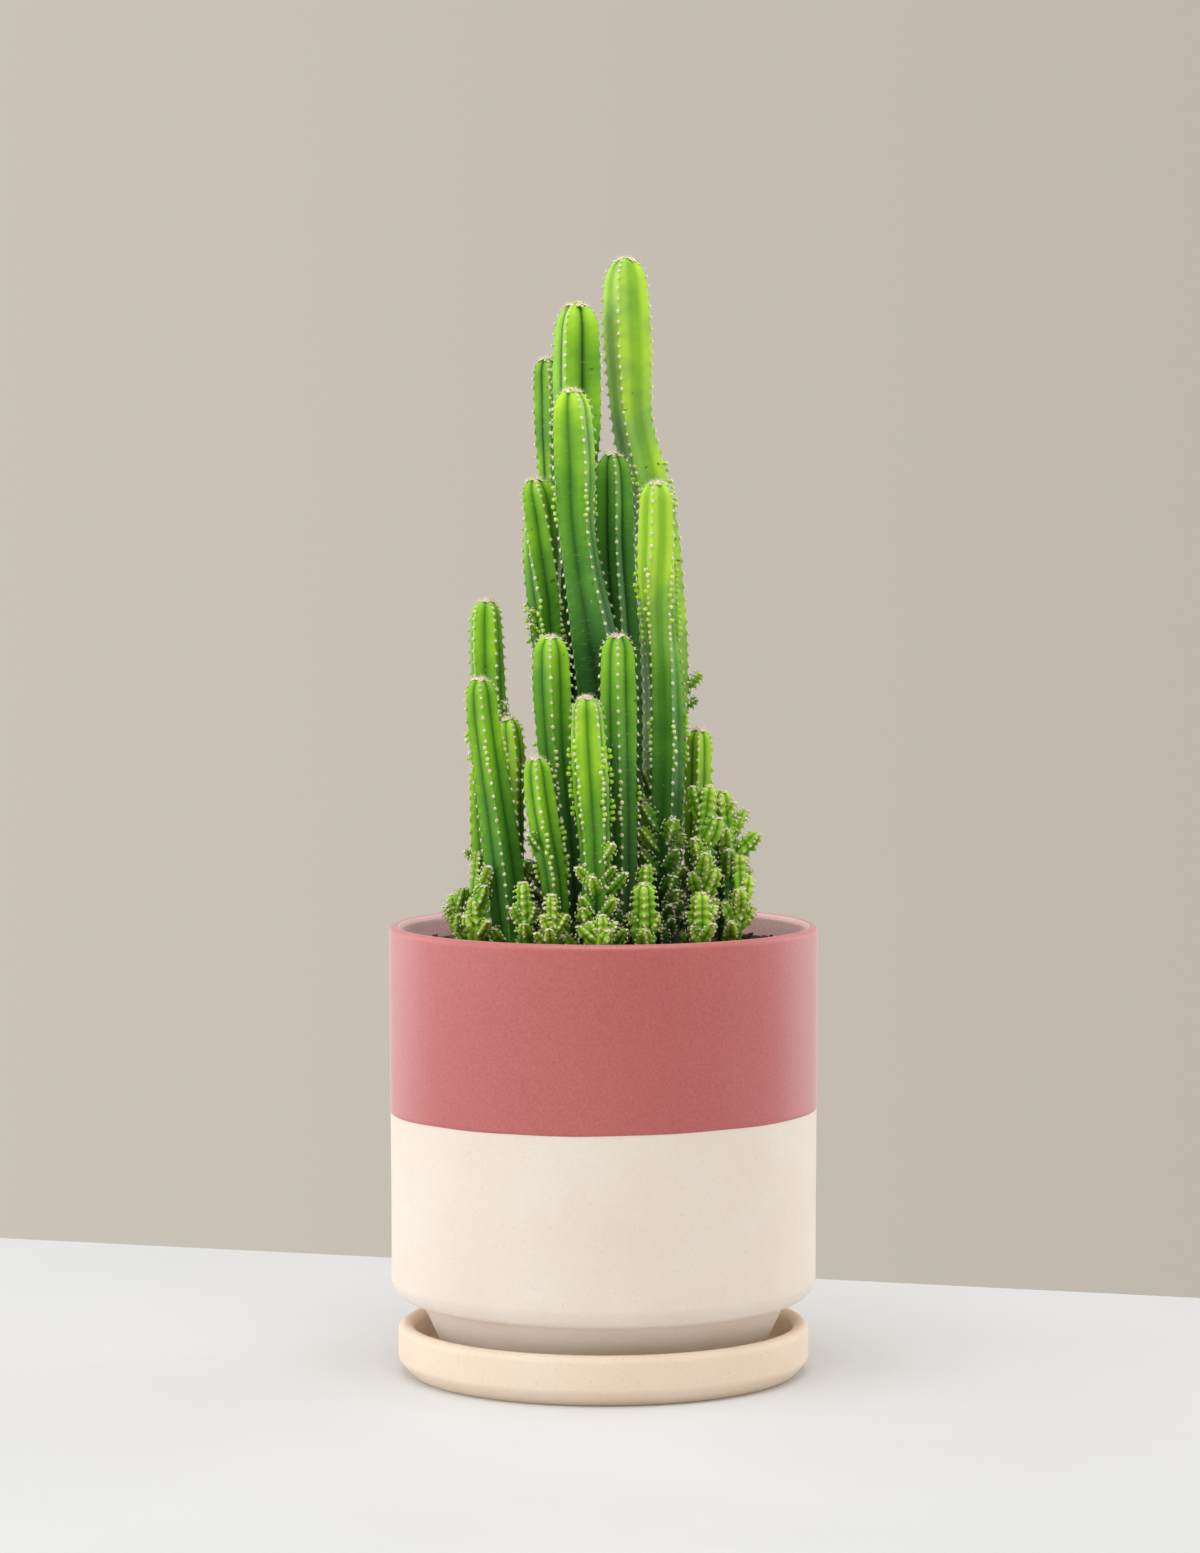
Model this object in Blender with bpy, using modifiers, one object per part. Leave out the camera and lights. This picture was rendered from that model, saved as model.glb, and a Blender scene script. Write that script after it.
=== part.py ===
"""A fairy castle cactus in a two-tone ceramic pot that stands on its saucer.

Metres, +Z up, origin on the pot's axis at the saucer's underside. The plant's
front, where its lowest stems stand, faces -Y.
"""

import math
import random

import bmesh
import bpy
import numpy as np
from mathutils import Vector

MM = 0.001

# Driving dimensions, in millimetres
GAP = 0.3
POT_RADIUS = 75.0
POT_TOP = 157.0
POT_WALL = 4.4
POT_TAPER = 0.6
GLAZE_LINE = 92.7
LIP_ROUND = 2.2
SHOULDER_TOP = 38.0
SHOULDER_BOTTOM = 26.5
SHOULDER_ROUND = 7.0
FOOT_TOP_RADIUS = 64.5
FOOT_BEND = 21.0
FOOT_BEND_RADIUS = 62.0
FOOT_RADIUS = 55.0
POT_FLOOR = 5.0
INNER_BEND = 24.0
INNER_BEND_INSET = 2.0
INNER_ROUND = 5.5
DRAIN_RADIUS = 6.0
SAUCER_RADIUS = 72.0
SAUCER_HEIGHT = 17.5
SAUCER_WALL = 5.7
SAUCER_FLOOR = 5.0
SAUCER_CORNER = 3.0
SAUCER_BEND = (7.0, 4.0, 0.9)
SAUCER_BEND_RADIUS = (72.0, 71.0, 68.5)
SAUCER_BASE_RADIUS = 66.5
SOIL_TOP = 149.0
SOIL_MOUND = 1.5
SOIL_MOUND_SHARE = 0.6
SOIL_EDGE_ROUND = 1.0
FOOT_BOTTOM = 138.0
HOLE_CLEARANCE = 5.0
TURN_STEPS = 36
HOLE_SIDES = 8

# Rib form: how near the axis the small shoots' valleys lie, and the ribs' teeth
SHOOT_VALLEY = {3: 0.62, 4: 0.60}
STEM_PITCH = 8.6
STEM_TOOTH = 1.0
STEM_VALLEY_STEP = 24.0
OFFSET_PITCH = 5.4
SPROUT_PITCH = 6.5
OFFSET_TOOTH = 0.7
OFFSET_VALLEY_STEP = 12.0
TOOTH_JITTER = 0.12
NOTCH_SHARE = 0.42
FIRST_TOOTH = 0.3
FLARE = 7.0
SLIM_SPROUT = 2.35
SEED = 11

# A shoot's tip: the dome's height by its radius, and where its last points lie
DOME = 1.2
DOME_KNEE = 0.4
DOME_END = 0.06

# A sprout's way out of its parent, as shares of its reach, rise and radius
ROOT_DEPTH = 0.3
ROOT_REACH = 0.4
ROOT_RADIUS = 0.7
TIP_RADIUS = 0.92
BOW_OUT = 0.56
BOW_UP = 0.48

# Each stem: its ribs, how near the axis a valley lies as a share of the rib's
# reach, the angles of one rib from the front (degrees, towards +X) at heights,
# then its axis from foot to tip as x, y, z, radius
STEMS = {
    "stem_tallest": (4, 0.69, [(152, -24), (390, -19)], [
        (20, 27, 152, 5.8), (20.5, 27, 172, 7.4), (21.5, 26, 220, 8.9), (20.6, 26, 268, 9.2),
        (17.6, 26, 297, 8.8), (13.4, 26, 317, 8.2), (10.0, 26, 334, 7.8), (8.9, 26, 350, 8.5),
        (8.2, 26, 367, 9.0), (7.6, 26, 390.5, 7.4)]),
    "stem_second": (4, 0.60, [(152, -25), (374, -25)], [
        (-11, 20, 152, 5.6), (-12, 20.5, 213, 6.6), (-12.4, 20.5, 262, 6.8), (-11.6, 20, 288, 7.2),
        (-10.1, 19, 311, 7.9), (-9.4, 19, 330, 9.2), (-9.4, 19, 350, 9.7), (-9.3, 19, 374.5, 8.0)]),
    "stem_back_left": (4, 0.68, [(152, 5), (355, 5)], [
        (-17, 33, 152, 4.9), (-17.5, 33, 234, 5.7), (-18, 33, 291, 5.0), (-19, 33, 314, 4.2),
        (-19.2, 33, 331, 5.5), (-19.4, 33, 345, 5.6), (-19.9, 33, 355.5, 5.0)]),
    "stem_centre": (4, 0.68, [(152, 31), (262, 31), (344, 24)], [
        (0.6, -4, 152, 6.6), (0.6, -4, 200, 9.2), (-0.2, -4, 236, 9.8), (-4.0, -4, 260, 9.2),
        (-7.6, -4, 282, 7.4), (-9.6, -4, 300, 7.2), (-10.0, -4, 318, 8.1), (-10.6, -4, 331, 7.7),
        (-11.2, -4, 344, 6.4)]),
    "stem_centre_back": (5, 0.60, [(152, 5), (322, 9)], [
        (7.4, 12, 152, 5.8), (6.6, 12, 228, 7.4), (5.2, 12, 263, 7.5), (3.4, 12, 291, 7.2),
        (3.2, 12, 311, 6.8), (2.8, 12, 322, 5.8)]),
    "stem_front_right": (5, 0.72, [(152, 15), (240, 22), (266, 34), (290, 57), (312, 57)], [
        (21, -10, 152, 5.2), (20.6, -10, 177, 6.0), (21.4, -10, 198, 6.3), (21.8, -10, 222, 6.4),
        (21.2, -10, 243, 6.2), (19.4, -10, 264, 5.9), (18.5, -10, 281, 6.9), (18.4, -10, 297, 6.8),
        (18.4, -10, 312, 5.8)]),
    "stem_left_mid": (5, 0.66, [(152, -5), (270, -12), (292, -40), (313, -67)], [
        (-14.8, 8, 152, 4.5), (-15.5, 8, 193, 5.4), (-17.4, 8, 228, 5.6), (-20.4, 8.5, 263, 5.9),
        (-21.9, 9, 287, 6.6), (-22.6, 9, 301, 6.5), (-24.0, 9, 313, 5.5)]),
    "stem_front_left": (5, 0.74, [(152, 0), (259, -2)], [
        (-11.6, -20, 152, 4.7), (-13, -20, 181, 5.7), (-15.1, -20, 202, 5.8), (-17, -20, 222, 6.4),
        (-17.8, -20, 240, 7.1), (-18.3, -20, 259, 6.1)]),
    "stem_front_mid": (5, 0.70, [(152, 2), (259, 0)], [
        (6, -24, 152, 4.9), (6, -24, 192, 5.9), (5.3, -24, 216, 6.4), (4.8, -24, 240, 6.6),
        (4.9, -24, 259.5, 5.7)]),
    "stem_front_low": (5, 0.74, [(152, 36), (239, 36)], [
        (-2.3, -40, 152, 5.0), (-3.2, -40, 190, 5.8), (-4.3, -40, 207, 6.5), (-5.3, -40, 222, 6.3),
        (-6, -40, 239, 5.3)]),
    "stem_left_back": (5, 0.74, [(152, 32), (270, 32)], [
        (-36.3, 12, 152, 4.4), (-37.4, 12, 193, 5.1), (-38.9, 12, 221, 5.5), (-40.7, 12, 240, 6.3),
        (-41.3, 12, 256, 6.3), (-41.3, 12, 270.5, 5.2)]),
    "stem_left_front": (5, 0.76, [(152, -2), (244, 2)], [
        (-32, -22, 152, 5.8), (-33.5, -22, 172, 6.8), (-37, -22, 198, 6.4), (-39.8, -22, 217, 6.2),
        (-41.6, -22, 231, 6.1), (-42.7, -22, 244.5, 5.3)]),
    "stem_left_slim": (4, 0.64, [(152, 20), (229, 20)], [
        (-30.8, 1, 152, 3.5), (-31.4, 1, 183, 3.8), (-31.6, 1, 204, 4.2), (-32.0, 1, 215, 4.9),
        (-33.3, 1, 229.5, 4.0)]),
    "stem_front_left_low": (5, 0.70, [(152, -3), (218, -3)], [
        (-15.2, -34, 152, 4.2), (-17.3, -34, 178, 5.0), (-20, -34, 193, 5.4), (-22, -34, 206, 5.5),
        (-23.2, -34, 218, 4.6)]),
    "stem_left_low": (5, 0.72, [(152, 10), (213, 10)], [
        (-40, -6, 152, 4.6), (-40.6, -6, 173, 5.3), (-41.8, -6, 191, 5.1), (-43, -6, 204, 4.0),
        (-43.8, -6, 213.5, 3.4)]),
    "stem_right_low": (4, 0.64, [(152, -5), (225, -5)], [
        (32, 14, 152, 3.9), (33, 13.5, 196, 4.5), (33.4, 13, 211, 4.7), (33.6, 13, 225, 4.1)]),
}

# Offsets that stand in the soil by themselves, each with its axis as above
OFFSETS = {
    "offset_front": [(13.9, -43, 152, 3.0), (13.8, -43, 158, 4.2), (13.7, -43, 175.5, 3.6)],
    "offsets_right": [
        (33.5, -15, 152, 2.9), (33.8, -15, 172, 4.0), (35, -15, 190, 3.6), (37, -15, 207, 3.2)],
    "offsets_far_right": [(43, 3, 152, 3.3), (43, 3, 175, 4.5), (41.5, 3, 204, 3.4)],
    "offsets_right_low": [(43.5, -12, 152, 3.0), (45.5, -12, 158, 3.7), (48.5, -12, 171, 3.3)],
    "offsets_right_front": [(33.2, -34, 152, 3.0), (33.2, -34, 158, 3.9), (33.2, -34, 171.5, 3.4)],
    "offsets_left": [(-43.4, -25.5, 152, 2.7), (-44, -26.2, 159, 3.5), (-44.6, -27, 169, 3.0)],
    "offsets_far_left": [(-49.6, -4, 152, 2.6), (-51, -4, 159, 3.2), (-53, -4, 168, 2.7)],
    "offsets_front_left": [(-26, -39, 152, 2.3), (-26.6, -40, 158, 3.0), (-27.6, -40, 175.5, 2.5)],
    "offsets_front_left_low": [(-18.5, -48, 152, 2.0), (-18, -48, 156, 2.4), (-17.8, -48, 172, 2.0)],
    "offsets_front_mid": [(-1.8, -53, 152, 2.1), (-1.2, -53, 154, 2.6), (-0.6, -53, 165.5, 2.2)],
    "offsets_back_left": [(-8, 44, 152, 3.0), (-8, 44, 165, 4.2), (-9, 45, 188, 3.5)],
    "offsets_back_right": [(11, 46, 152, 3.0), (11, 46, 160, 4.0), (12, 47, 179, 3.4)],
}

# Sprouts that grow from a stem or an offset: the tip's x, y, z, how far below
# it the sprout leaves its parent, and its radius
SPROUTS = {
    "stem_tallest": [(34.6, 23, 244, 9, 1.7)],
    "stem_left_mid": [(-25.6, 5, 267, 4, 1.3)],
    "stem_left_back": [(-34.2, 9, 234.5, 4, 1.3)],
    "stem_left_low": [(-48.3, -7, 183.5, 4, 1.2)],
    "stem_front_right": [
        (12.9, -15, 200.4, 10, 2.9), (12.2, -16, 192, 9, 2.7), (24.5, -18.4, 195.6, 10, 2.5),
        (27.4, -14, 190, 8, 2.4), (27.4, -18, 179, 8, 2.4), (27.3, -18.5, 169, 8, 2.3)],
    "stem_front_left_low": [(-25.6, -37, 191.6, 7, 1.9)],
    "stem_front_low": [
        (-4.3, -48, 178, 7, 2.1), (-7.4, -48, 171, 7, 2.2), (3.0, -46, 189, 7, 1.8), (7.4, -44, 179, 9, 2.1)],
    "offset_front": [(18.6, -43.5, 164.5, 6, 1.9), (13.6, -49, 160, 6, 2.6), (14.6, -37, 181, 12, 2.4)],
    "offsets_right": [
        (39.2, -17.5, 196, 9, 3.1), (35.2, -21.5, 184, 10, 2.8), (38.6, -20, 178.5, 10, 3.1),
        (30.8, -13.5, 206.5, 12, 2.4)],
    "offsets_far_right": [(43.6, -5, 184, 10, 2.6), (48, 3.5, 194.5, 9, 2.1), (54, 3, 189, 9, 2.9)],
    "offsets_right_low": [(46.8, -16.5, 171, 9, 2.4), (47.4, -7, 182, 13, 2.4), (52, -9.5, 164, 7, 2.2)],
    "offsets_right_front": [(38.4, -31.5, 166.5, 7, 2.0), (37.2, -38.5, 161, 6, 2.0)],
    "offsets_left": [(-40.7, -29.5, 173.5, 8, 2.1), (-39.4, -29, 180, 10, 1.8)],
    "offsets_far_left": [(-48.8, -7, 170.5, 8, 2.0), (-50.6, -8.5, 161.5, 6, 2.0)],
    "offsets_front_left": [(-23.6, -41.5, 167, 6, 1.7)],
    "offsets_front_left_low": [
        (-20.8, -50, 165, 6, 1.7), (-22.8, -50, 159, 4, 1.6), (-12.6, -48.5, 165, 7, 1.7)],
    "offsets_front_mid": [(-8.4, -54, 161.5, 6, 2.1), (1.6, -56, 160.5, 5, 2.2)],
    "offsets_back_left": [(-14.5, 46, 176, 10, 2.6), (-3, 48, 172, 9, 2.5)],
    "offsets_back_right": [(17, 47, 172, 9, 2.5), (13, 53, 165, 8, 2.4)],
}

# Colours (linear RGB) and roughness of each material
MATERIALS = {
    "clay": ((0.80, 0.69, 0.57), 0.75),
    "glaze": ((0.50, 0.13, 0.12), 0.5),
    "saucer_clay": ((0.80, 0.67, 0.51), 0.75),
    "soil": ((0.045, 0.022, 0.014), 0.95),
    "stem_green": ((0.06, 0.23, 0.025), 0.5),
    "offset_green": ((0.13, 0.33, 0.05), 0.55),
}


def material(name):
    colour, roughness = MATERIALS[name]
    made = bpy.data.materials.new(name)
    made.use_nodes = True
    shader = made.node_tree.nodes["Principled BSDF"]
    shader.inputs["Base Color"].default_value = (*colour, 1.0)
    shader.inputs["Roughness"].default_value = roughness
    shader.inputs["Metallic"].default_value = 0.0
    return made


def arc(centre_x, centre_z, radius, start, end, steps):
    """Points on an arc, with angles in degrees from +X towards +Z."""
    angles = [math.radians(start + (end - start) * i / steps) for i in range(steps + 1)]
    return [(centre_x + radius * math.cos(a), centre_z + radius * math.sin(a)) for a in angles]


def outer_profile():
    """The pot's outer side from the lip down to the middle of its underside."""
    low_radius = POT_RADIUS - POT_TAPER
    shoulder_x = low_radius - SHOULDER_ROUND
    shoulder_z = SHOULDER_BOTTOM + SHOULDER_ROUND
    points = arc(POT_RADIUS - LIP_ROUND, POT_TOP - LIP_ROUND, LIP_ROUND, 90, 0, 2)
    points += [(POT_RADIUS - POT_TAPER * 0.4, GLAZE_LINE), (low_radius, SHOULDER_TOP)]
    points += arc(shoulder_x, shoulder_z, SHOULDER_ROUND, 0, -80, 3)
    points += [(FOOT_TOP_RADIUS, SHOULDER_BOTTOM - 1.0), (FOOT_BEND_RADIUS, FOOT_BEND)]
    points += [(FOOT_RADIUS, SAUCER_FLOOR + GAP), (DRAIN_RADIUS, SAUCER_FLOOR + GAP)]
    return points


def inner_profile(inset):
    """The pot's inside from the floor up to below the lip, set in by a gap."""
    wall = POT_WALL + inset
    low = POT_RADIUS - POT_TAPER - wall
    floor = SAUCER_FLOOR + GAP + POT_FLOOR + inset
    points = [(FOOT_RADIUS - wall, floor), (FOOT_TOP_RADIUS - wall - INNER_BEND_INSET, INNER_BEND)]
    points += arc(low - INNER_ROUND, SHOULDER_BOTTOM + wall + SHOULDER_ROUND, INNER_ROUND, -75, 0, 2)
    return points


def turned(name, profile, material_names, collection):
    """A profile in millimetres turned round the Z axis."""
    mesh = bpy.data.meshes.new(name)
    vertices = [(x * MM, 0.0, z * MM) for x, z in profile]
    closed = profile[0][0] > 0
    edges = [(i, i + 1) for i in range(len(vertices) - 1)]
    if closed:
        edges.append((len(vertices) - 1, 0))
    mesh.from_pydata(vertices, edges, [])
    turned_object = bpy.data.objects.new(name, mesh)
    collection.objects.link(turned_object)
    screw = turned_object.modifiers.new("turn", "SCREW")
    screw.axis = "Z"
    screw.angle = math.tau
    screw.steps = TURN_STEPS
    screw.render_steps = TURN_STEPS
    screw.use_merge_vertices = True
    screw.merge_threshold = 0.00001
    for material_name in material_names:
        mesh.materials.append(bpy.data.materials[material_name])
    return turned_object


def apply_modifiers(made):
    """Replaces the object's mesh by its evaluated one."""
    graph = bpy.context.evaluated_depsgraph_get()
    mesh = bpy.data.meshes.new_from_object(made.evaluated_get(graph))
    made.modifiers.clear()
    made.data = mesh


def shade(made, degrees):
    made.data.shade_smooth()
    made.data.set_sharp_from_angle(angle=math.radians(degrees))


def make_saucer(collection):
    inner = SAUCER_RADIUS - SAUCER_WALL
    rim = SAUCER_WALL / 2
    profile = [(0.0, SAUCER_FLOOR), (inner - SAUCER_CORNER, SAUCER_FLOOR)]
    profile += [(inner, SAUCER_FLOOR + SAUCER_CORNER)]
    profile += arc(inner + rim, SAUCER_HEIGHT - rim, rim, 180, 0, 4)
    profile += list(zip(SAUCER_BEND_RADIUS, SAUCER_BEND))
    profile += [(SAUCER_BASE_RADIUS, 0.0), (0.0, 0.0)]
    return turned("saucer", profile, ["saucer_clay"], collection)


def make_pot(collection):
    profile = outer_profile()
    profile += [(DRAIN_RADIUS, SAUCER_FLOOR + GAP + POT_FLOOR)] + inner_profile(0.0)
    inner_top = POT_RADIUS - POT_WALL
    profile += arc(inner_top + LIP_ROUND, POT_TOP - LIP_ROUND, LIP_ROUND, 180, 120, 2)
    pot = turned("pot", profile, ["clay", "glaze"], collection)
    apply_modifiers(pot)
    for face in pot.data.polygons:
        centre = face.center / MM
        inside = math.hypot(centre.x, centre.y) < POT_RADIUS - POT_WALL + 1.0 and centre.z > SHOULDER_TOP
        face.material_index = int(centre.z > GLAZE_LINE or inside)
    return pot


def make_soil(collection, cutters):
    """The filled soil, with a plain round hole for each foot in it."""
    sides = inner_profile(GAP)
    edge_radius = sides[-1][0]
    profile = [(0.0, SOIL_TOP + SOIL_MOUND), (edge_radius * SOIL_MOUND_SHARE, SOIL_TOP + SOIL_MOUND * 0.8)]
    profile += [(edge_radius - SOIL_EDGE_ROUND, SOIL_TOP), (edge_radius, SOIL_TOP - SOIL_EDGE_ROUND)]
    profile += list(reversed(sides)) + [(0.0, sides[0][1])]
    soil = turned("soil", profile, ["soil"], collection)
    for foot in all_feet():
        soil_hole(soil, foot, cutters)
    return soil


def all_feet():
    return [rows[0] for _, _, _, rows in STEMS.values()] + [rows[0] for rows in OFFSETS.values()]


def soil_hole(soil, foot, cutters):
    x, y, _, radius = foot
    hole_radius = (radius + GAP) / math.cos(math.pi / HOLE_SIDES)
    bottom = FOOT_BOTTOM - GAP
    top = SOIL_TOP + SOIL_MOUND + HOLE_CLEARANCE
    bm = bmesh.new()
    bmesh.ops.create_cone(bm, cap_ends=True, segments=HOLE_SIDES, radius1=hole_radius * MM,
                          radius2=hole_radius * MM, depth=(top - bottom) * MM)
    mesh = bpy.data.meshes.new("foot_hole")
    bm.to_mesh(mesh)
    bm.free()
    cutter = bpy.data.objects.new("foot_hole", mesh)
    cutter.location = (x * MM, y * MM, (top + bottom) / 2 * MM)
    cutter.hide_render = True
    cutter.display_type = "WIRE"
    cutters.objects.link(cutter)
    cut = soil.modifiers.new("hole", "BOOLEAN")
    cut.operation = "DIFFERENCE"
    cut.object = cutter


class Axis:
    """A smooth axis through rows of x, y, z, radius, read by length from its start."""

    def __init__(self, rows, fineness=24):
        rows = np.array(rows, dtype=float)
        steps = np.linalg.norm(np.diff(rows[:, :3], axis=0), axis=1)
        knots = np.concatenate([[0.0], np.cumsum(steps)])
        slopes = np.gradient(rows, knots, axis=0)
        dense = []
        for i, step in enumerate(steps):
            t = np.linspace(0.0, 1.0, fineness, endpoint=False)[:, None]
            a = (1 + 2 * t) * (1 - t) ** 2 * rows[i] + t * (1 - t) ** 2 * step * slopes[i]
            b = t * t * (3 - 2 * t) * rows[i + 1] + t * t * (t - 1) * step * slopes[i + 1]
            dense.append(a + b)
        dense.append(rows[-1:])
        self.rows = np.vstack(dense)
        lengths = np.linalg.norm(np.diff(self.rows[:, :3], axis=0), axis=1)
        self.at = np.concatenate([[0.0], np.cumsum(lengths)])
        self.length = float(self.at[-1])

    def read(self, s):
        return np.array([np.interp(s, self.at, self.rows[:, k]) for k in range(4)])

    def frame(self, s):
        """The middle, the directions of +X and +Y turned onto the axis, and the radius."""
        here = self.read(s)
        back = self.read(max(s - 0.5, 0.0))
        ahead = self.read(min(s + 0.5, self.length))
        along = Vector((ahead - back)[:3]).normalized()
        turn = Vector((0, 0, 1)).rotation_difference(along)
        return Vector(here[:3]), turn @ Vector((1, 0, 0)), turn @ Vector((0, 1, 0)), float(here[3])


def marks(start, end, pitch, rng):
    """Heights of the teeth and of the notches between them, as length and +1 or -1."""
    count = max(2, round((end - start) / pitch))
    step = (end - start) / count
    found = []
    for i in range(count):
        middle = start + (i + 0.5) * step + rng.uniform(-TOOTH_JITTER, TOOTH_JITTER) * step
        found.append((middle - step * NOTCH_SHARE, -1))
        found.append((middle, 1))
    return found


def ribbed_mesh(bm, rows, ribs, valley, twist, pitch, tooth, valley_step, rng, foot):
    """Adds one closed ribbed shoot: toothed rib edges and the valleys between them."""
    axis = Axis(rows)
    tip_radius = rows[-1][3]
    dome = tip_radius * DOME
    end = axis.length - dome * DOME_END
    heights, angles = zip(*twist)

    def point(s, angle, kind):
        middle, right, away, radius = axis.frame(s)
        left_over = max(axis.length - s, 0.0)
        rounding = 1.0
        if left_over < dome:
            rounding = math.sqrt(max(0.0, 1.0 - (1.0 - left_over / dome) ** 2))
        ribbed = 1.0
        if foot:
            ribbed = min(s / FLARE, 1.0)
        if kind == "valley":
            reach = radius * (1.0 - ribbed * (1.0 - valley))
        else:
            reach = radius + kind * tooth * 0.5 * ribbed
        reach *= rounding
        turned_by = math.radians(np.interp(middle.z, heights, angles)) + angle
        side = right * math.sin(turned_by) - away * math.cos(turned_by)
        return (middle + side * reach) * MM

    lines = []
    for rib in range(ribs):
        angle = math.tau * rib / ribs
        crest_marks = [(0.0, 0)] + marks(pitch * FIRST_TOOTH, end, pitch, rng) + [(end, 0)]
        lines.append([(s, bm.verts.new(point(s, angle, kind))) for s, kind in crest_marks])
        valley_angle = angle + math.pi / ribs
        count = math.ceil((end - dome) / valley_step)
        valley_marks = [(end - dome) * i / count for i in range(count + 1)]
        if foot:
            valley_marks.insert(1, FLARE)
        valley_marks += [end - dome * DOME_KNEE, end]
        lines.append([(s, bm.verts.new(point(s, valley_angle, "valley"))) for s in valley_marks])
    bottom = bm.verts.new(axis.frame(0.0)[0] * MM)
    top = bm.verts.new(axis.frame(axis.length)[0] * MM)
    if foot:
        bottom.co.z = FOOT_BOTTOM * MM
        for line in lines:
            start = line[0][1].co
            line.insert(0, (-1.0, bm.verts.new((start.x, start.y, FOOT_BOTTOM * MM))))
    for i, left in enumerate(lines):
        right_line = lines[(i + 1) % len(lines)]
        zip_lines(bm, left, right_line)
        bm.faces.new((left[0][1], bottom, right_line[0][1]))
        bm.faces.new((right_line[-1][1], top, left[-1][1]))


def zip_lines(bm, left, right):
    """Fills the strip between two rows of points with triangles, lowest first."""
    i = 0
    j = 0
    while i < len(left) - 1 or j < len(right) - 1:
        take_left = j == len(right) - 1
        if i < len(left) - 1 and j < len(right) - 1:
            take_left = left[i + 1][0] <= right[j + 1][0]
        if take_left:
            bm.faces.new((left[i][1], right[j][1], left[i + 1][1]))
            i += 1
        else:
            bm.faces.new((left[i][1], right[j][1], right[j + 1][1]))
            j += 1


def shoot_object(name, rows, ribs, valley, twist, pitch, tooth, valley_step, rng, foot, material_name):
    bm = bmesh.new()
    ribbed_mesh(bm, rows, ribs, valley, twist, pitch, tooth, valley_step, rng, foot)
    mesh = bpy.data.meshes.new(name)
    bmesh.ops.recalc_face_normals(bm, faces=bm.faces)
    bm.to_mesh(mesh)
    bm.free()
    mesh.materials.append(bpy.data.materials[material_name])
    return bpy.data.objects.new(name, mesh)


def sprout_rows(parent_rows, tip, drop, radius):
    """A sprout's axis: out of its parent's inside and up to its tip, with a slight bow."""
    parent = np.array(Axis(parent_rows).rows)
    level = tip[2] - drop
    root = parent[np.argmin(np.abs(parent[:, 2] - level))]
    out_x = tip[0] - root[0]
    out_y = tip[1] - root[1]
    reach = math.hypot(out_x, out_y)
    start = min(ROOT_DEPTH * root[3], ROOT_REACH * reach) / reach
    middle = start + (1.0 - start) * BOW_OUT
    return [
        (root[0] + out_x * start, root[1] + out_y * start, level, radius * ROOT_RADIUS),
        (root[0] + out_x * middle, root[1] + out_y * middle, level + drop * BOW_UP, radius),
        (tip[0], tip[1], tip[2], radius * TIP_RADIUS),
    ]


def fused(name, pieces, collection):
    """Joins closed bodies that cross each other into one."""
    if len(pieces) == 1:
        collection.objects.link(pieces[0])
        return pieces[0]
    base = pieces[0]
    collection.objects.link(base)
    extras = bpy.data.collections.new("joined_to_" + name)
    bpy.context.scene.collection.children.link(extras)
    for piece in pieces[1:]:
        extras.objects.link(piece)
    union = base.modifiers.new("join", "BOOLEAN")
    union.operation = "UNION"
    union.operand_type = "COLLECTION"
    union.collection = extras
    union.solver = "MANIFOLD"
    bpy.context.view_layer.update()
    apply_modifiers(base)
    for piece in list(extras.objects):
        bpy.data.objects.remove(piece)
    bpy.data.collections.remove(extras)
    base.name = name
    return base


def make_sprouts(name, parent_rows, rng):
    pieces = []
    for x, y, z, drop, radius in SPROUTS.get(name, []):
        rows = sprout_rows(parent_rows, (x, y, z), drop, radius)
        twist = [(z, rng.uniform(0, 90))]
        ribs = 3 if radius < SLIM_SPROUT else 4
        pieces.append(shoot_object(name + "_sprout", rows, ribs, SHOOT_VALLEY[ribs], twist, SPROUT_PITCH,
                                   OFFSET_TOOTH, OFFSET_VALLEY_STEP, rng, False, "offset_green"))
    return pieces


def make_stem(index, name, collection):
    ribs, valley, twist, rows = STEMS[name]
    rng = random.Random(SEED + index)
    pieces = [shoot_object(name, rows, ribs, valley, twist, STEM_PITCH, STEM_TOOTH, STEM_VALLEY_STEP, rng,
                           True, "stem_green")]
    pieces += make_sprouts(name, rows, rng)
    return fused(name, pieces, collection)


def make_offsets(index, name, collection):
    rng = random.Random(SEED * 100 + index)
    rows = OFFSETS[name]
    twist = [(rows[0][2], rng.uniform(0, 90))]
    pieces = [shoot_object(name, rows, 4, SHOOT_VALLEY[4], twist, OFFSET_PITCH, OFFSET_TOOTH,
                           OFFSET_VALLEY_STEP, rng, True, "offset_green")]
    pieces += make_sprouts(name, rows, rng)
    return fused(name, pieces, collection)


def main():
    for old in list(bpy.data.objects):
        bpy.data.objects.remove(old)
    for name in MATERIALS:
        material(name)
    collection = bpy.data.collections.new("fairy_castle_cactus")
    cutters = bpy.data.collections.new("cutters")
    bpy.context.scene.collection.children.link(collection)
    bpy.context.scene.collection.children.link(cutters)
    make_saucer(collection)
    shade(make_pot(collection), 40)
    make_soil(collection, cutters)
    for index, name in enumerate(STEMS):
        shade(make_stem(index, name, collection), 50)
    for index, name in enumerate(OFFSETS):
        shade(make_offsets(index, name, collection), 50)


main()
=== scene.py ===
"""Looks of the fairy castle cactus in its two-tone pot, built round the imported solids."""

import math
import random

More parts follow.
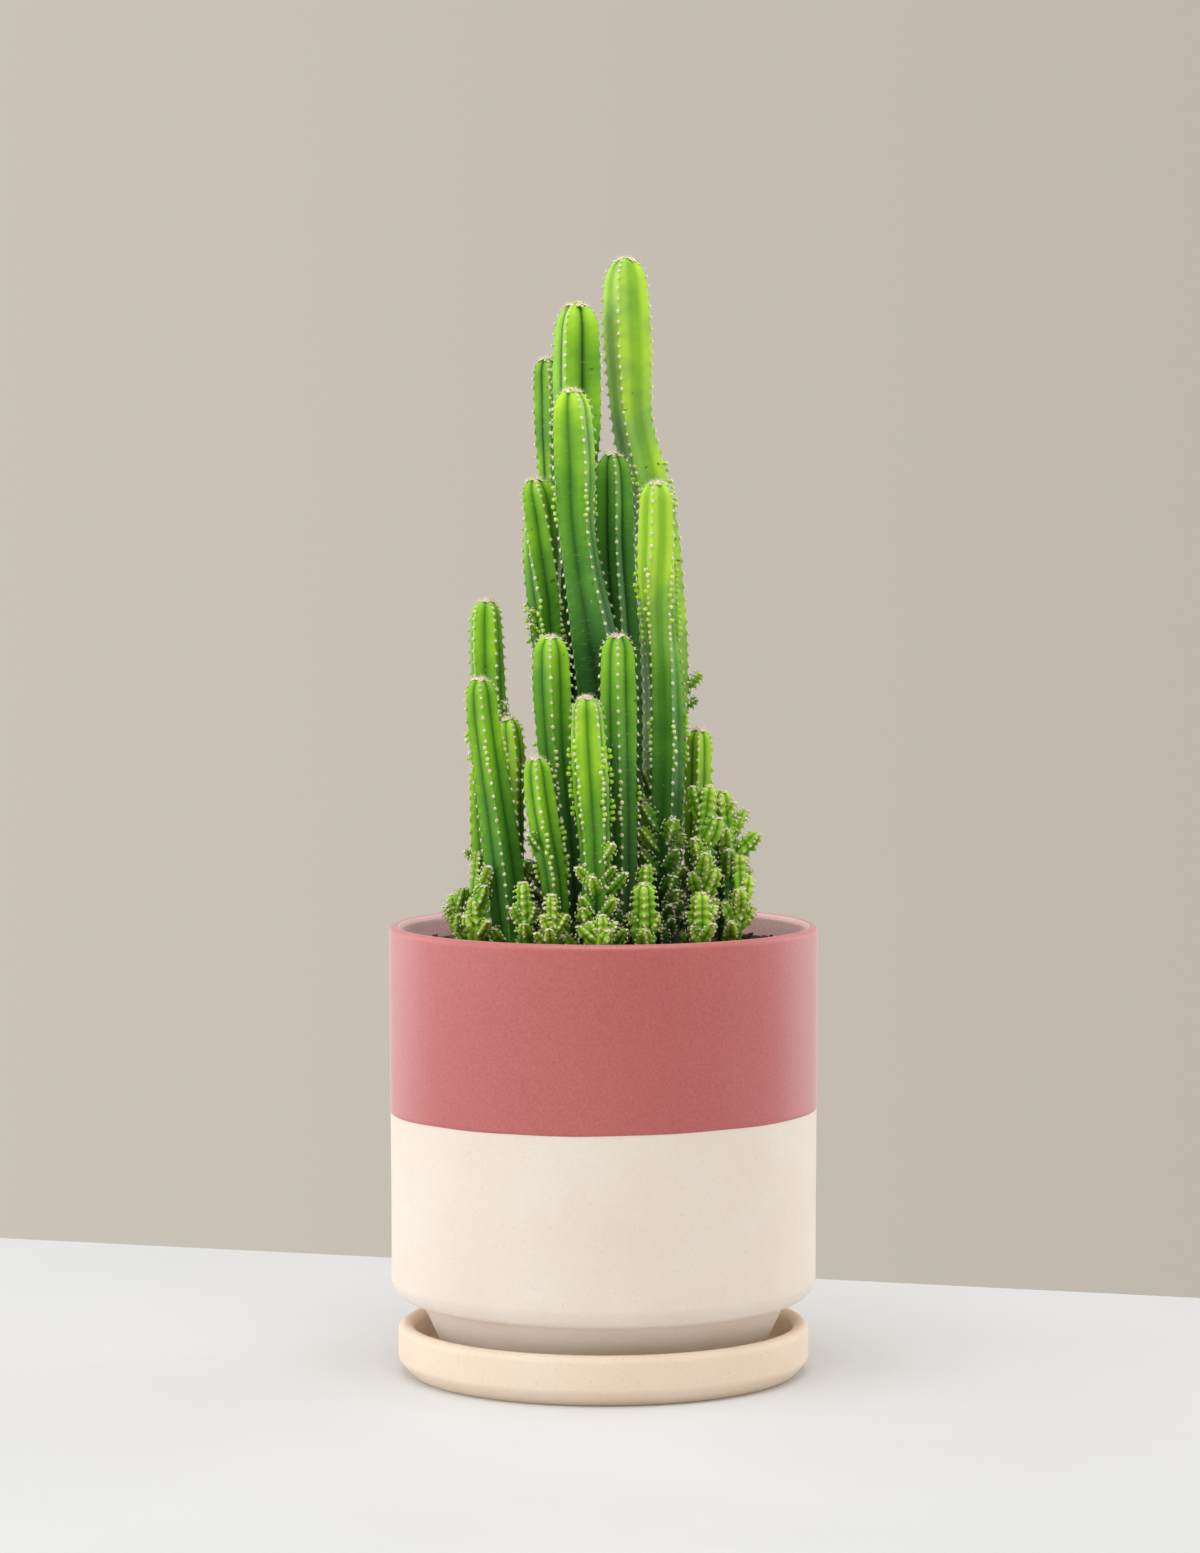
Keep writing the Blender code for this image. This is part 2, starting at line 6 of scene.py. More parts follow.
import bpy
import numpy as np
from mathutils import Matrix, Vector


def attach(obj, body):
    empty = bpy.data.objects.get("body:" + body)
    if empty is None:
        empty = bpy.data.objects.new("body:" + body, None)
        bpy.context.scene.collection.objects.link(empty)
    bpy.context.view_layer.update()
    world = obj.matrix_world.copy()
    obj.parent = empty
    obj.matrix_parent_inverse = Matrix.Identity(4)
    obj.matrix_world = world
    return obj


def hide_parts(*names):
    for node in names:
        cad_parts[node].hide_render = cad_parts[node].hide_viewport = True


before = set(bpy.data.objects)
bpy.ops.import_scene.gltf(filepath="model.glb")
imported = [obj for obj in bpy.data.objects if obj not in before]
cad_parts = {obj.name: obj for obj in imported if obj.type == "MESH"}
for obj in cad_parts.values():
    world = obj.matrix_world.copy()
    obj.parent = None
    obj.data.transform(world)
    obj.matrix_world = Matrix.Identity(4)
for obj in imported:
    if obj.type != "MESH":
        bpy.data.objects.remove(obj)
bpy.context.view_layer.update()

MM = 0.001

# Sizes shared with the solids, in millimetres
POT_RADIUS = 75.0
POT_TOP = 157.0
POT_WALL = 4.4
POT_TAPER = 0.6
LIP_ROUND = 2.2
GLAZE_LINE = 92.7
GLAZE_TILT = 0.0097
SHOULDER_TOP = 38.0
SHOULDER_BOTTOM = 26.5
SHOULDER_ROUND = 7.0
FOOT_TOP_RADIUS = 64.5
FOOT_RADIUS = 55.0
POT_FLOOR = 5.0
DRAIN_RADIUS = 6.0
GAP = 0.3
SAUCER_RADIUS = 72.0
SAUCER_HEIGHT = 17.5
SAUCER_WALL = 5.7
SAUCER_FLOOR = 5.0
SAUCER_BASE_RADIUS = 66.5
SOIL_TOP = 149.0
SOIL_MOUND = 1.5
GROUND = 152.0
FOOT_BOTTOM = 138.0
SHOOT_VALLEY = {4: 0.68, 5: 0.72}
FLARE = 7.0
DOME = 1.2
BOW_OUT = 0.56
BOW_UP = 0.48

# Each stem: its ribs, how near the axis a valley lies as a share of the rib's
# reach, the angles of one rib from the front (degrees, towards +X) at heights,
# then its axis from foot to tip as x, y, z, radius
STEMS = {
    "stem_tallest": (4, 0.69, [(152, -24), (390, -19)], [
        (20, 27, 152, 5.8), (20.5, 27, 172, 7.4), (21.5, 26, 220, 8.9), (20.6, 26, 268, 9.2),
        (17.6, 26, 297, 8.8), (13.4, 26, 317, 8.2), (10.0, 26, 334, 7.8), (8.9, 26, 350, 8.5),
        (8.2, 26, 367, 9.0), (7.6, 26, 390.5, 7.4)]),
    "stem_second": (4, 0.60, [(152, -25), (374, -25)], [
        (-11, 20, 152, 5.6), (-12, 20.5, 213, 6.6), (-12.4, 20.5, 262, 6.8), (-11.6, 20, 288, 7.2),
        (-10.1, 19, 311, 7.9), (-9.4, 19, 330, 9.2), (-9.4, 19, 350, 9.7), (-9.3, 19, 374.5, 8.0)]),
    "stem_back_left": (4, 0.68, [(152, 5), (355, 5)], [
        (-17, 33, 152, 4.9), (-17.5, 33, 234, 5.7), (-18, 33, 291, 5.0), (-19, 33, 314, 4.2),
        (-19.2, 33, 331, 5.5), (-19.4, 33, 345, 5.6), (-19.9, 33, 355.5, 5.0)]),
    "stem_centre": (4, 0.68, [(152, 31), (262, 31), (344, 24)], [
        (0.6, -4, 152, 6.6), (0.6, -4, 200, 9.2), (-0.2, -4, 236, 9.8), (-4.0, -4, 260, 9.2),
        (-7.6, -4, 282, 7.4), (-9.6, -4, 300, 7.2), (-10.0, -4, 318, 8.1), (-10.6, -4, 331, 7.7),
        (-11.2, -4, 344, 6.4)]),
    "stem_centre_back": (5, 0.60, [(152, 5), (322, 9)], [
        (7.4, 12, 152, 5.8), (6.6, 12, 228, 7.4), (5.2, 12, 263, 7.5), (3.4, 12, 291, 7.2),
        (3.2, 12, 311, 6.8), (2.8, 12, 322, 5.8)]),
    "stem_front_right": (5, 0.72, [(152, 15), (240, 22), (266, 34), (290, 57), (312, 57)], [
        (21, -10, 152, 5.2), (20.6, -10, 177, 6.0), (21.4, -10, 198, 6.3), (21.8, -10, 222, 6.4),
        (21.2, -10, 243, 6.2), (19.4, -10, 264, 5.9), (18.5, -10, 281, 6.9), (18.4, -10, 297, 6.8),
        (18.4, -10, 312, 5.8)]),
    "stem_left_mid": (5, 0.66, [(152, -5), (270, -12), (292, -40), (313, -67)], [
        (-14.8, 8, 152, 4.5), (-15.5, 8, 193, 5.4), (-17.4, 8, 228, 5.6), (-20.4, 8.5, 263, 5.9),
        (-21.9, 9, 287, 6.6), (-22.6, 9, 301, 6.5), (-24.0, 9, 313, 5.5)]),
    "stem_front_left": (5, 0.74, [(152, 0), (259, -2)], [
        (-11.6, -20, 152, 4.7), (-13, -20, 181, 5.7), (-15.1, -20, 202, 5.8), (-17, -20, 222, 6.4),
        (-17.8, -20, 240, 7.1), (-18.3, -20, 259, 6.1)]),
    "stem_front_mid": (5, 0.70, [(152, 2), (259, 0)], [
        (6, -24, 152, 4.9), (6, -24, 192, 5.9), (5.3, -24, 216, 6.4), (4.8, -24, 240, 6.6),
        (4.9, -24, 259.5, 5.7)]),
    "stem_front_low": (5, 0.74, [(152, 36), (239, 36)], [
        (-2.3, -40, 152, 5.0), (-3.2, -40, 190, 5.8), (-4.3, -40, 207, 6.5), (-5.3, -40, 222, 6.3),
        (-6, -40, 239, 5.3)]),
    "stem_left_back": (5, 0.74, [(152, 32), (270, 32)], [
        (-36.3, 12, 152, 4.4), (-37.4, 12, 193, 5.1), (-38.9, 12, 221, 5.5), (-40.7, 12, 240, 6.3),
        (-41.3, 12, 256, 6.3), (-41.3, 12, 270.5, 5.2)]),
    "stem_left_front": (5, 0.76, [(152, -2), (244, 2)], [
        (-32, -22, 152, 5.8), (-33.5, -22, 172, 6.8), (-37, -22, 198, 6.4), (-39.8, -22, 217, 6.2),
        (-41.6, -22, 231, 6.1), (-42.7, -22, 244.5, 5.3)]),
    "stem_left_slim": (4, 0.64, [(152, 20), (229, 20)], [
        (-30.8, 1, 152, 3.5), (-31.4, 1, 183, 3.8), (-31.6, 1, 204, 4.2), (-32.0, 1, 215, 4.9),
        (-33.3, 1, 229.5, 4.0)]),
    "stem_front_left_low": (5, 0.70, [(152, -3), (218, -3)], [
        (-15.2, -34, 152, 4.2), (-17.3, -34, 178, 5.0), (-20, -34, 193, 5.4), (-22, -34, 206, 5.5),
        (-23.2, -34, 218, 4.6)]),
    "stem_left_low": (5, 0.72, [(152, 10), (213, 10)], [
        (-40, -6, 152, 4.6), (-40.6, -6, 173, 5.3), (-41.8, -6, 191, 5.1), (-43, -6, 204, 4.0),
        (-43.8, -6, 213.5, 3.4)]),
    "stem_right_low": (4, 0.64, [(152, -5), (225, -5)], [
        (32, 14, 152, 3.9), (33, 13.5, 196, 4.5), (33.4, 13, 211, 4.7), (33.6, 13, 225, 4.1)]),
}

# Offsets that stand in the soil by themselves, each with its axis as above
OFFSETS = {
    "offset_front": [(13.9, -43, 152, 3.0), (13.8, -43, 158, 4.2), (13.7, -43, 175.5, 3.6)],
    "offsets_right": [
        (33.5, -15, 152, 2.9), (33.8, -15, 172, 4.0), (35, -15, 190, 3.6), (37, -15, 207, 3.2)],
    "offsets_far_right": [(43, 3, 152, 3.3), (43, 3, 175, 4.5), (41.5, 3, 204, 3.4)],
    "offsets_right_low": [(43.5, -12, 152, 3.0), (45.5, -12, 158, 3.7), (48.5, -12, 171, 3.3)],
    "offsets_right_front": [(33.2, -34, 152, 3.0), (33.2, -34, 158, 3.9), (33.2, -34, 171.5, 3.4)],
    "offsets_left": [(-43.4, -25.5, 152, 2.7), (-44, -26.2, 159, 3.5), (-44.6, -27, 169, 3.0)],
    "offsets_far_left": [(-49.6, -4, 152, 2.6), (-51, -4, 159, 3.2), (-53, -4, 168, 2.7)],
    "offsets_front_left": [(-26, -39, 152, 2.3), (-26.6, -40, 158, 3.0), (-27.6, -40, 175.5, 2.5)],
    "offsets_front_left_low": [(-18.5, -48, 152, 2.0), (-18, -48, 156, 2.4), (-17.8, -48, 172, 2.0)],
    "offsets_front_mid": [(-1.8, -53, 152, 2.1), (-1.2, -53, 154, 2.6), (-0.6, -53, 165.5, 2.2)],
    "offsets_back_left": [(-8, 44, 152, 3.0), (-8, 44, 165, 4.2), (-9, 45, 188, 3.5)],
    "offsets_back_right": [(11, 46, 152, 3.0), (11, 46, 160, 4.0), (12, 47, 179, 3.4)],
}

# Sprouts that grow from a stem or an offset: the tip's x, y, z, how far below
# it the sprout leaves its parent, and its radius
SPROUTS = {
    "stem_tallest": [(34.6, 23, 244, 9, 1.7), (33.2, 24, 235, 5, 1.5)],
    "stem_left_mid": [(-25.6, 5, 267, 4, 1.3), (-25.2, 5, 262, 4, 1.2)],
    "stem_left_back": [(-34.2, 9, 234.5, 4, 1.3), (-33.6, 9, 230.5, 4, 1.2)],
    "stem_left_low": [(-48.3, -7, 183.5, 4, 1.2)],
    "stem_front_right": [
        (12.9, -15, 200.4, 10, 2.9), (12.2, -16, 192, 9, 2.7), (24.5, -18.4, 195.6, 10, 2.5),
        (27.4, -14, 190, 8, 2.4), (27.4, -18, 179, 8, 2.4), (27.3, -18.5, 169, 8, 2.3),
        (12.4, -17, 184, 9, 2.6), (25.6, -19, 185, 8, 2.5), (24, -20.5, 176, 9, 2.4), (23, -20, 166, 7, 2.3),
        (25.6, -21, 171, 8, 2.2), (23.6, -20, 161, 6, 2.2)],
    "stem_front_left_low": [(-25.6, -37, 191.6, 7, 1.9)],
    "stem_front_low": [
        (-4.3, -48, 178, 7, 2.1), (-7.4, -48, 171, 7, 2.2), (3.0, -46, 189, 7, 1.8), (7.4, -44, 179, 9, 2.1),
        (3.4, -44, 181, 6, 1.6), (-9.0, -46, 181, 6, 1.7)],
    "offset_front": [
        (18.6, -43.5, 164.5, 6, 1.9), (13.6, -49, 160, 6, 2.6), (14.6, -37, 181, 12, 2.4),
        (8.8, -43.5, 165, 6, 1.9)],
    "offsets_right": [
        (39.2, -17.5, 196, 9, 3.1), (35.2, -21.5, 184, 10, 2.8), (38.6, -20, 178.5, 10, 3.1),
        (30.8, -13.5, 206.5, 12, 2.4), (31.4, -20, 189, 8, 2.3), (30.6, -20, 177, 8, 2.3),
        (33.6, -22, 170, 8, 2.6), (38.4, -20.5, 168, 8, 2.4)],
    "offsets_far_right": [
        (43.6, -5, 184, 10, 2.6), (48, 3.5, 194.5, 9, 2.1), (54, 3, 189, 9, 2.9), (42.8, -3, 191, 10, 2.6),
        (50, 5, 197, 8, 2.0), (49.5, 0, 181, 9, 2.4), (45.5, 1, 200, 6, 1.6), (51.5, 6, 176, 9, 2.3)],
    "offsets_right_low": [
        (46.8, -16.5, 171, 9, 2.4), (47.4, -7, 182, 13, 2.4), (52, -9.5, 164, 7, 2.2),
        (41.2, -17.5, 166.5, 8, 2.4), (50.5, -10, 175, 9, 2.3), (44, -19, 160, 6, 2.2)],
    "offsets_right_front": [
        (38.4, -31.5, 166.5, 7, 2.0), (37.2, -38.5, 161, 6, 2.0), (29, -32, 164.5, 7, 1.9),
        (30, -37.5, 160, 6, 1.8)],
    "offsets_left": [
        (-40.7, -29.5, 173.5, 8, 2.1), (-39.4, -29, 180, 10, 1.8), (-39.6, -31, 161.5, 6, 2.0),
        (-43.4, -20.3, 184, 14, 1.8), (-47.5, -29, 163, 6, 2.1)],
    "offsets_far_left": [
        (-48.8, -7, 170.5, 8, 2.0), (-50.6, -8.5, 161.5, 6, 2.0), (-55, -6, 164, 6, 1.8),
        (-52, 1, 163, 6, 2.0)],
    "offsets_front_left": [
        (-23.6, -41.5, 167, 6, 1.7), (-27.2, -45, 161.5, 5, 1.9), (-31, -42, 167, 6, 1.7)],
    "offsets_front_left_low": [
        (-20.8, -50, 165, 6, 1.7), (-22.8, -50, 159, 4, 1.6), (-12.6, -48.5, 165, 7, 1.7),
        (-18.6, -52.5, 160.5, 5, 1.7)],
    "offsets_front_mid": [
        (-8.4, -54, 161.5, 6, 2.1), (1.6, -56, 160.5, 5, 2.2), (-4.8, -53, 163, 6, 1.9),
        (4.2, -53, 163, 6, 1.8)],
    "offsets_back_left": [
        (-14.5, 46, 176, 10, 2.6), (-3, 48, 172, 9, 2.5), (-9, 51, 167, 9, 2.6), (-13, 49.5, 163, 7, 2.2)],
    "offsets_back_right": [(17, 47, 172, 9, 2.5), (13, 53, 165, 8, 2.4), (7, 50, 168, 9, 2.4)],
}

# Heights between which a stem's ribs carry crowded tufts of budding sprouts
TUFTS = {
    "stem_centre": [(298, 313)],
    "stem_front_right": [(258, 284), (214, 232)],
    "stem_front_low": [(196, 224)],
    "stem_front_mid": [(196, 212)],
    "stem_left_mid": [(256, 272)],
    "stem_front_left": [(206, 222)],
    "stem_left_front": [(214, 226)],
    "stem_front_left_low": [(176, 196)],
    "stem_tallest": [(300, 318)],
}

# Age at the tip and at one age length below it, which sets how light a stem stays
AGES = {
    "stem_tallest": (0.0, 0.14), "stem_second": (0.1, 0.65), "stem_back_left": (0.15, 0.6),
    "stem_centre": (-0.08, 1.35), "stem_centre_back": (0.4, 1.3), "stem_front_right": (-0.3, 1.0),
    "stem_front_left": (0.18, 1.0), "stem_front_mid": (0.2, 1.1), "stem_front_low": (0.08, 0.8),
    "stem_left_mid": (0.12, 1.0), "stem_left_back": (0.1, 0.9), "stem_left_front": (0.12, 0.9),
}
USUAL_AGES = (0.0, 1.0)
# Stems whose rib valleys get the darkest painted shade, and pale stems whose valleys get only light painted
# shade
DEEP_SHADE_STEMS = ("stem_second", "stem_centre_back", "stem_back_left")
PALE_STEMS = ("stem_tallest", "stem_front_right")

# Small pups round a stem's foot: how many, and how high they reach above the soil
PUPS = {
    "stem_centre_back": (10, 52), "stem_tallest": (8, 60), "stem_centre": (8, 40),
    "stem_front_mid": (8, 24), "stem_front_left": (9, 26), "stem_front_low": (9, 22),
    "stem_front_right": (10, 40), "stem_left_front": (8, 24), "stem_left_mid": (6, 30),
    "stem_second": (4, 40), "stem_left_low": (6, 26), "stem_left_back": (4, 30),
}
PUP_LEAST_HEIGHT = 4.0
PUP_REACH = (2.2, 7.5)
PUP_DROP = (7.0, 12.0)
PUP_RADIUS = (1.7, 2.7)
PUP_LIMIT = 58.0

# Pups that fill the gap between two stems, by the stem they grow from, as in SPROUTS
GAP_PUPS = {
    "stem_left_slim": [
        (-25.5, -4, 180, 11, 2.7), (-27.5, -6, 172, 10, 2.7), (-24.5, -8, 165, 9, 2.6),
        (-27, -9, 157, 8, 2.5)],
    "stem_left_mid": [
        (-26, 10, 178, 12, 2.8), (-29, 12, 170, 11, 2.8), (-24, 6, 168, 10, 2.6),
        (-27, 7, 160, 9, 2.6), (-30, 8, 154, 8, 2.4), (-23, 4, 156, 8, 2.4)],
    "stem_front_left": [
        (-24, -14, 163, 9, 2.4), (-22, -16, 156, 8, 2.3), (-5, -14, 172, 9, 2.3), (-4, -16, 161, 8, 2.4)],
    "stem_tallest": [
        (13.5, 22, 210, 12, 2.6), (13, 20, 200, 12, 2.6), (14, 19, 188, 11, 2.7),
        (12.8, 18, 177, 10, 2.6), (14.2, 18, 167, 9, 2.6)],
}

# How a shoot is shaped: the steps of its rings and of each rib's section, how far the
# section bulges past a straight facet, its teeth, its areoles, pads and spines, the
# length over which it ages, and the wool on its tip
RIB_SHARES = [-0.8, -0.58, -0.38, -0.22, -0.11, -0.045, 0.0, 0.045, 0.11, 0.22, 0.38, 0.58, 0.8, 1.0]
OFFSET_SHARES = [-0.7, -0.4, -0.15, 0.0, 0.15, 0.4, 0.7, 1.0]
SPROUT_SHARES = [-0.66, -0.3, 0.0, 0.3, 0.66, 1.0]
STEM_FORM = {
    "ring": 1.4, "dome_rings": 14, "shares": RIB_SHARES, "bulge": 0.022,
    "tooth": 0.75, "spread": 0.36, "swell": 1.0, "crease": 0.08, "pitch": 4.0, "crowd": 1.5,
    "pad": 0.6, "sink": 0.1, "spines": 3, "tip_spines": 4, "spine": 1.1, "age_length": 130.0,
    "cap": 30, "cap_width": 0.55,
}
SPROUT_FORM = {
    "ring": 0.62, "dome_rings": 6, "shares": SPROUT_SHARES, "bulge": 0.07,
    "tooth": 1.7, "spread": 1.2, "swell": 1.6, "crease": 0.0, "pitch": 2.8, "crowd": 1.6,
    "pad": 0.5, "sink": 0.08, "spines": 2, "tip_spines": 2, "spine": 0.5, "age_length": 30.0,
    "cap": 7, "cap_width": 0.6,
}
OFFSET_FORM = dict(SPROUT_FORM, shares=OFFSET_SHARES, pad=0.52, pitch=3.0)
SPROUT_SWELL = 1.1
SPROUT_ROOT = 0.7
SPROUT_TIP = 0.92
SPROUT_BARE = 0.25
SPROUT_YOUNGEST = (-0.05, 0.2)
FIVE_RIBS_FROM = 2.6

# The steps between two rows of an axis, and how far from a point its direction is taken
AXIS_STEPS = 24
AIM_REACH = 0.5

# A rib's section and teeth, its slow waves (share of the radius, length), the steps
# between its areoles, the share of a tuft's areoles with a knob, and how upright
# the areoles and the skin's last ring end at the tip
CREST_BLUNT = 0.012
CREST_WIDTH = 0.06
BULGE_LEAN = 0.8
TOOTH_LEAN = 0.5
TOOTH_PEAK = 0.62
CREASE_LEAN = 0.8
WOBBLES = ((0.022, 9.0), (0.018, 21.0))
STEP_GROWTH = 1.32
STEP_RANGE = (0.86, 1.14)
TUFT_STEPS = (0.42, 0.6)
TUFT_SHARE = 0.8
TIP_UPRIGHT = 0.86
TIP_REACH = 1.6
TIP_SHRINK = 0.25
LAST_SLOPE = 4.0
CAP_SINK = 0.15
CAP_TURN = 1.3

# How near neighbours darken the skin with painted shade between shoots, and how deep the heart of the cluster
# lies, where the painted shade deepens near the soil
CROWD_REACH = 2.6
CROWD_FADE = 6.0
CROWD_CORE = 0.8
CROWD_WEIGHT = 0.76
CLUSTER_FRONT = 4.0
CLUSTER_RADIUS = 46.0
CLUSTER_HEIGHT = 70.0

# The plant's materials, by their place in a piece's list
SKIN, WOOL, SPINE = 0, 1, 2

# Pads of wool, budding knobs and spines; a ring is its width and height as shares of the size
PAD_SIDES = 6
PAD_RINGS = [(1.0, 0.0), (0.8, 0.6), (0.32, 0.85)]
PAD_SIZES = (0.8, 1.15)
PAD_ROUGH = (0.86, 1.14)
PAD_UNEVEN = (0.9, 1.1)
PAD_TALL = 1.12
PAD_HEIGHT = 0.62
PAD_TOP = 0.5
PAD_BOTTOM = 0.3
KNOB_SIDES = 7
KNOB_RINGS = [(0.6, -0.1), (1.0, 0.35), (1.0, 0.75), (0.7, 1.15)]
KNOB_RADIUS = 0.8
KNOB_SIZES = (0.5, 1.3)
KNOB_SWING = (-0.9, 0.9)
KNOB_TOP = 1.3
KNOB_BOTTOM = 0.3
KNOB_LEAN = [0.3, 0.2, 0.93]
KNOB_SHADE = 0.35
KNOB_AGE = -0.25
SPINE_THICKNESS = 0.075
SPINE_TILT = (25.0, 78.0)
SPINE_LIFT = 0.1
SPINE_ASIDE = 0.15
SPINE_LENGTHS = (0.55, 1.2)


def rgb(red, green, blue):
    """A colour chosen as 0-255 display values, as linear RGBA."""
    def linear(v):
        v = v / 255
        return v / 12.92 if v <= 0.04045 else ((v + 0.055) / 1.055) ** 2.4
    return (linear(red), linear(green), linear(blue), 1.0)


def add_object(name, mesh, materials):
    for material in materials:
        mesh.materials.append(material)
    made = bpy.data.objects.new(name, mesh)
    bpy.context.scene.collection.objects.link(made)
    return made


class Axis:
    """A smooth axis through rows of x, y, z, radius, read by length from its start."""

    def __init__(self, rows):
        rows = np.array(rows, dtype=float)
        steps = np.linalg.norm(np.diff(rows[:, :3], axis=0), axis=1)
        knots = np.concatenate([[0.0], np.cumsum(steps)])
        slopes = np.gradient(rows, knots, axis=0)
        dense = []
        for i, step in enumerate(steps):
            t = np.linspace(0.0, 1.0, AXIS_STEPS, endpoint=False)[:, None]
            a = (1 + 2 * t) * (1 - t) ** 2 * rows[i] + t * (1 - t) ** 2 * step * slopes[i]
            b = t * t * (3 - 2 * t) * rows[i + 1] + t * t * (t - 1) * step * slopes[i + 1]
            dense.append(a + b)
        dense.append(rows[-1:])
        self.rows = np.vstack(dense)
        lengths = np.linalg.norm(np.diff(self.rows[:, :3], axis=0), axis=1)
        self.at = np.concatenate([[0.0], np.cumsum(lengths)])
        self.length = float(self.at[-1])

    def read(self, s):
        return np.stack([np.interp(s, self.at, self.rows[:, k]) for k in range(4)], axis=-1)

    def length_at(self, height):
        return float(np.interp(height, self.rows[:, 2], self.at))

    def row_at(self, height):
        return self.rows[np.argmin(np.abs(self.rows[:, 2] - height))]

    def frames(self, s):
        """Middles, +X and +Y turned onto the axis, its direction and radii, at an array of lengths."""
        here = self.read(s)
        ahead = self.read(np.minimum(s + AIM_REACH, self.length))
        behind = self.read(np.maximum(s - AIM_REACH, 0.0))
        along = (ahead - behind)[:, :3]
        along /= np.linalg.norm(along, axis=1)[:, None]
        tx, ty, tz = along.T
        share = 1.0 / (1.0 + tz)
        right = np.stack([1 - tx * tx * share, -tx * ty * share, -tx], axis=1)
        away = np.stack([-tx * ty * share, 1 - ty * ty * share, -ty], axis=1)
        return here[:, :3], right, away, along, here[:, 3]


def neighbours(name):
    """Every other stem's and offset's axis as rows of x, y, z, radius."""
    rows = [(other, table[3]) for other, table in STEMS.items()] + list(OFFSETS.items())
    return [Axis(axis_rows).rows for other, axis_rows in rows if other != name]


def crowding(points, others):
    """How hemmed in each point is by its neighbours, from 0 in the open to 1; it sets the painted shade
    between shoots and low in the cluster's heart.
    """
    x, y, z = points.T
    total = np.zeros(len(points))
    for rows in others:
        heights = rows[:, 2]
        middle_x, middle_y, radius = (np.interp(z, heights, rows[:, k]) for k in (0, 1, 3))
        gap = np.hypot(x - middle_x, y - middle_y) - radius * CROWD_CORE
        above = np.clip(z - heights[-1], 0.0, None)
        total += np.exp(-np.clip(gap, 0.0, None) / CROWD_REACH) * np.exp(-above / CROWD_FADE)
    inward = np.clip(1.0 - np.hypot(x, y + CLUSTER_FRONT) / CLUSTER_RADIUS, 0.0, 1.0)
    low = np.clip(1.0 - (z - SOIL_TOP) / CLUSTER_HEIGHT, 0.0, 1.0)
    return np.clip(total * CROWD_WEIGHT + inward * low, 0.0, 1.0)


class Shape:
    """Collects vertices, triangles, their material and the values that colour the skin."""

    def __init__(self, others=()):
        self.others = others
        self.points = []
        self.tris = []
        self.kinds = []
        self.share = []
        self.age = []
        self.count = 0

    def add(self, points, tris, kind, share, age):
        points = np.asarray(points, dtype=np.float32)
        self.points.append(points)
        self.tris.append(np.asarray(tris, dtype=np.int32) + self.count)
        self.kinds.append(np.full(len(tris), kind, dtype=np.int32))
        self.share.append(np.broadcast_to(np.asarray(share, dtype=np.float32), len(points)))
        self.age.append(np.broadcast_to(np.asarray(age, dtype=np.float32), len(points)))
        self.count += len(points)

    def build(self, name, materials):
        points = np.vstack(self.points)
        tris = np.vstack(self.tris)
        mesh = bpy.data.meshes.new(name)
        mesh.vertices.add(len(points))
        mesh.vertices.foreach_set("co", (points * MM).ravel())
        mesh.loops.add(tris.size)
        mesh.loops.foreach_set("vertex_index", tris.ravel())
        mesh.polygons.add(len(tris))
        mesh.polygons.foreach_set("loop_start", np.arange(len(tris), dtype=np.int32) * 3)
        mesh.polygons.foreach_set("material_index", np.concatenate(self.kinds))
        # The crowd value drives the painted shade between shoots
        values = {"share": np.concatenate(self.share), "age": np.concatenate(self.age),
                  "crowd": crowding(points, self.others)}
        for label, numbers in values.items():
            attribute = mesh.attributes.new(label, "FLOAT", "POINT")
            attribute.data.foreach_set("value", numbers.astype(np.float32))
        mesh.update(calc_edges=True)
        mesh.validate()
        mesh.shade_smooth()
        return add_object(name, mesh, materials)


def band(lower, upper):
    """Triangles between closed rings of equally many vertices."""
    lower_next = np.roll(lower, -1, axis=-1)
    upper_next = np.roll(upper, -1, axis=-1)
    halves = [np.stack([lower, lower_next, upper_next], -1), np.stack([lower, upper_next, upper], -1)]
    return np.concatenate([half.reshape(-1, 3) for half in halves])


def fan(tip, first, second):
    return np.stack([np.full(len(first), tip), first, second], -1)


def bead_tris(rings, sides):
    """Triangles of a closed bead: rings from low to high, then a top and a bottom point."""
    tris = []
    for ring in range(rings - 1):
        for k in range(sides):
            a, b = ring * sides + k, ring * sides + (k + 1) % sides
            tris += [(a, b, b + sides), (a, b + sides, a + sides)]
    top = rings * sides
    for k in range(sides):
        tris.append((top - sides + k, top - sides + (k + 1) % sides, top))
        tris.append(((k + 1) % sides, k, top + 1))
    return tris


PAD_TRIS = bead_tris(len(PAD_RINGS), PAD_SIDES)
KNOB_TRIS = bead_tris(len(KNOB_RINGS), KNOB_SIDES)


def side_axes(normal, along):
    """Two directions square to a normal, the first square to along as well."""
    across = np.cross(normal, along)
    across /= np.linalg.norm(across)
    return across, np.cross(across, normal)


def add_pad(shape, seat, normal, along, size, rng):
    """A woolly pad: a low dome whose middle is a little darker than its rim."""
    across, up = side_axes(normal, along)
    points = []
    core = []
    for wide, high in PAD_RINGS:
        for k in range(PAD_SIDES):
            turn = math.tau * k / PAD_SIDES
            rough = rng.uniform(*PAD_ROUGH)
            flat = (across * math.cos(turn) + up * math.sin(turn) * PAD_TALL) * size * wide * rough
            points.append(seat + flat + normal * size * high * PAD_HEIGHT * rng.uniform(*PAD_UNEVEN))
            core.append(1.0 - wide)
    points += [seat + normal * size * PAD_TOP, seat - normal * size * PAD_BOTTOM]
    core += [1.0, 0.0]
    shape.add(points, PAD_TRIS, WOOL, core, rng.random())


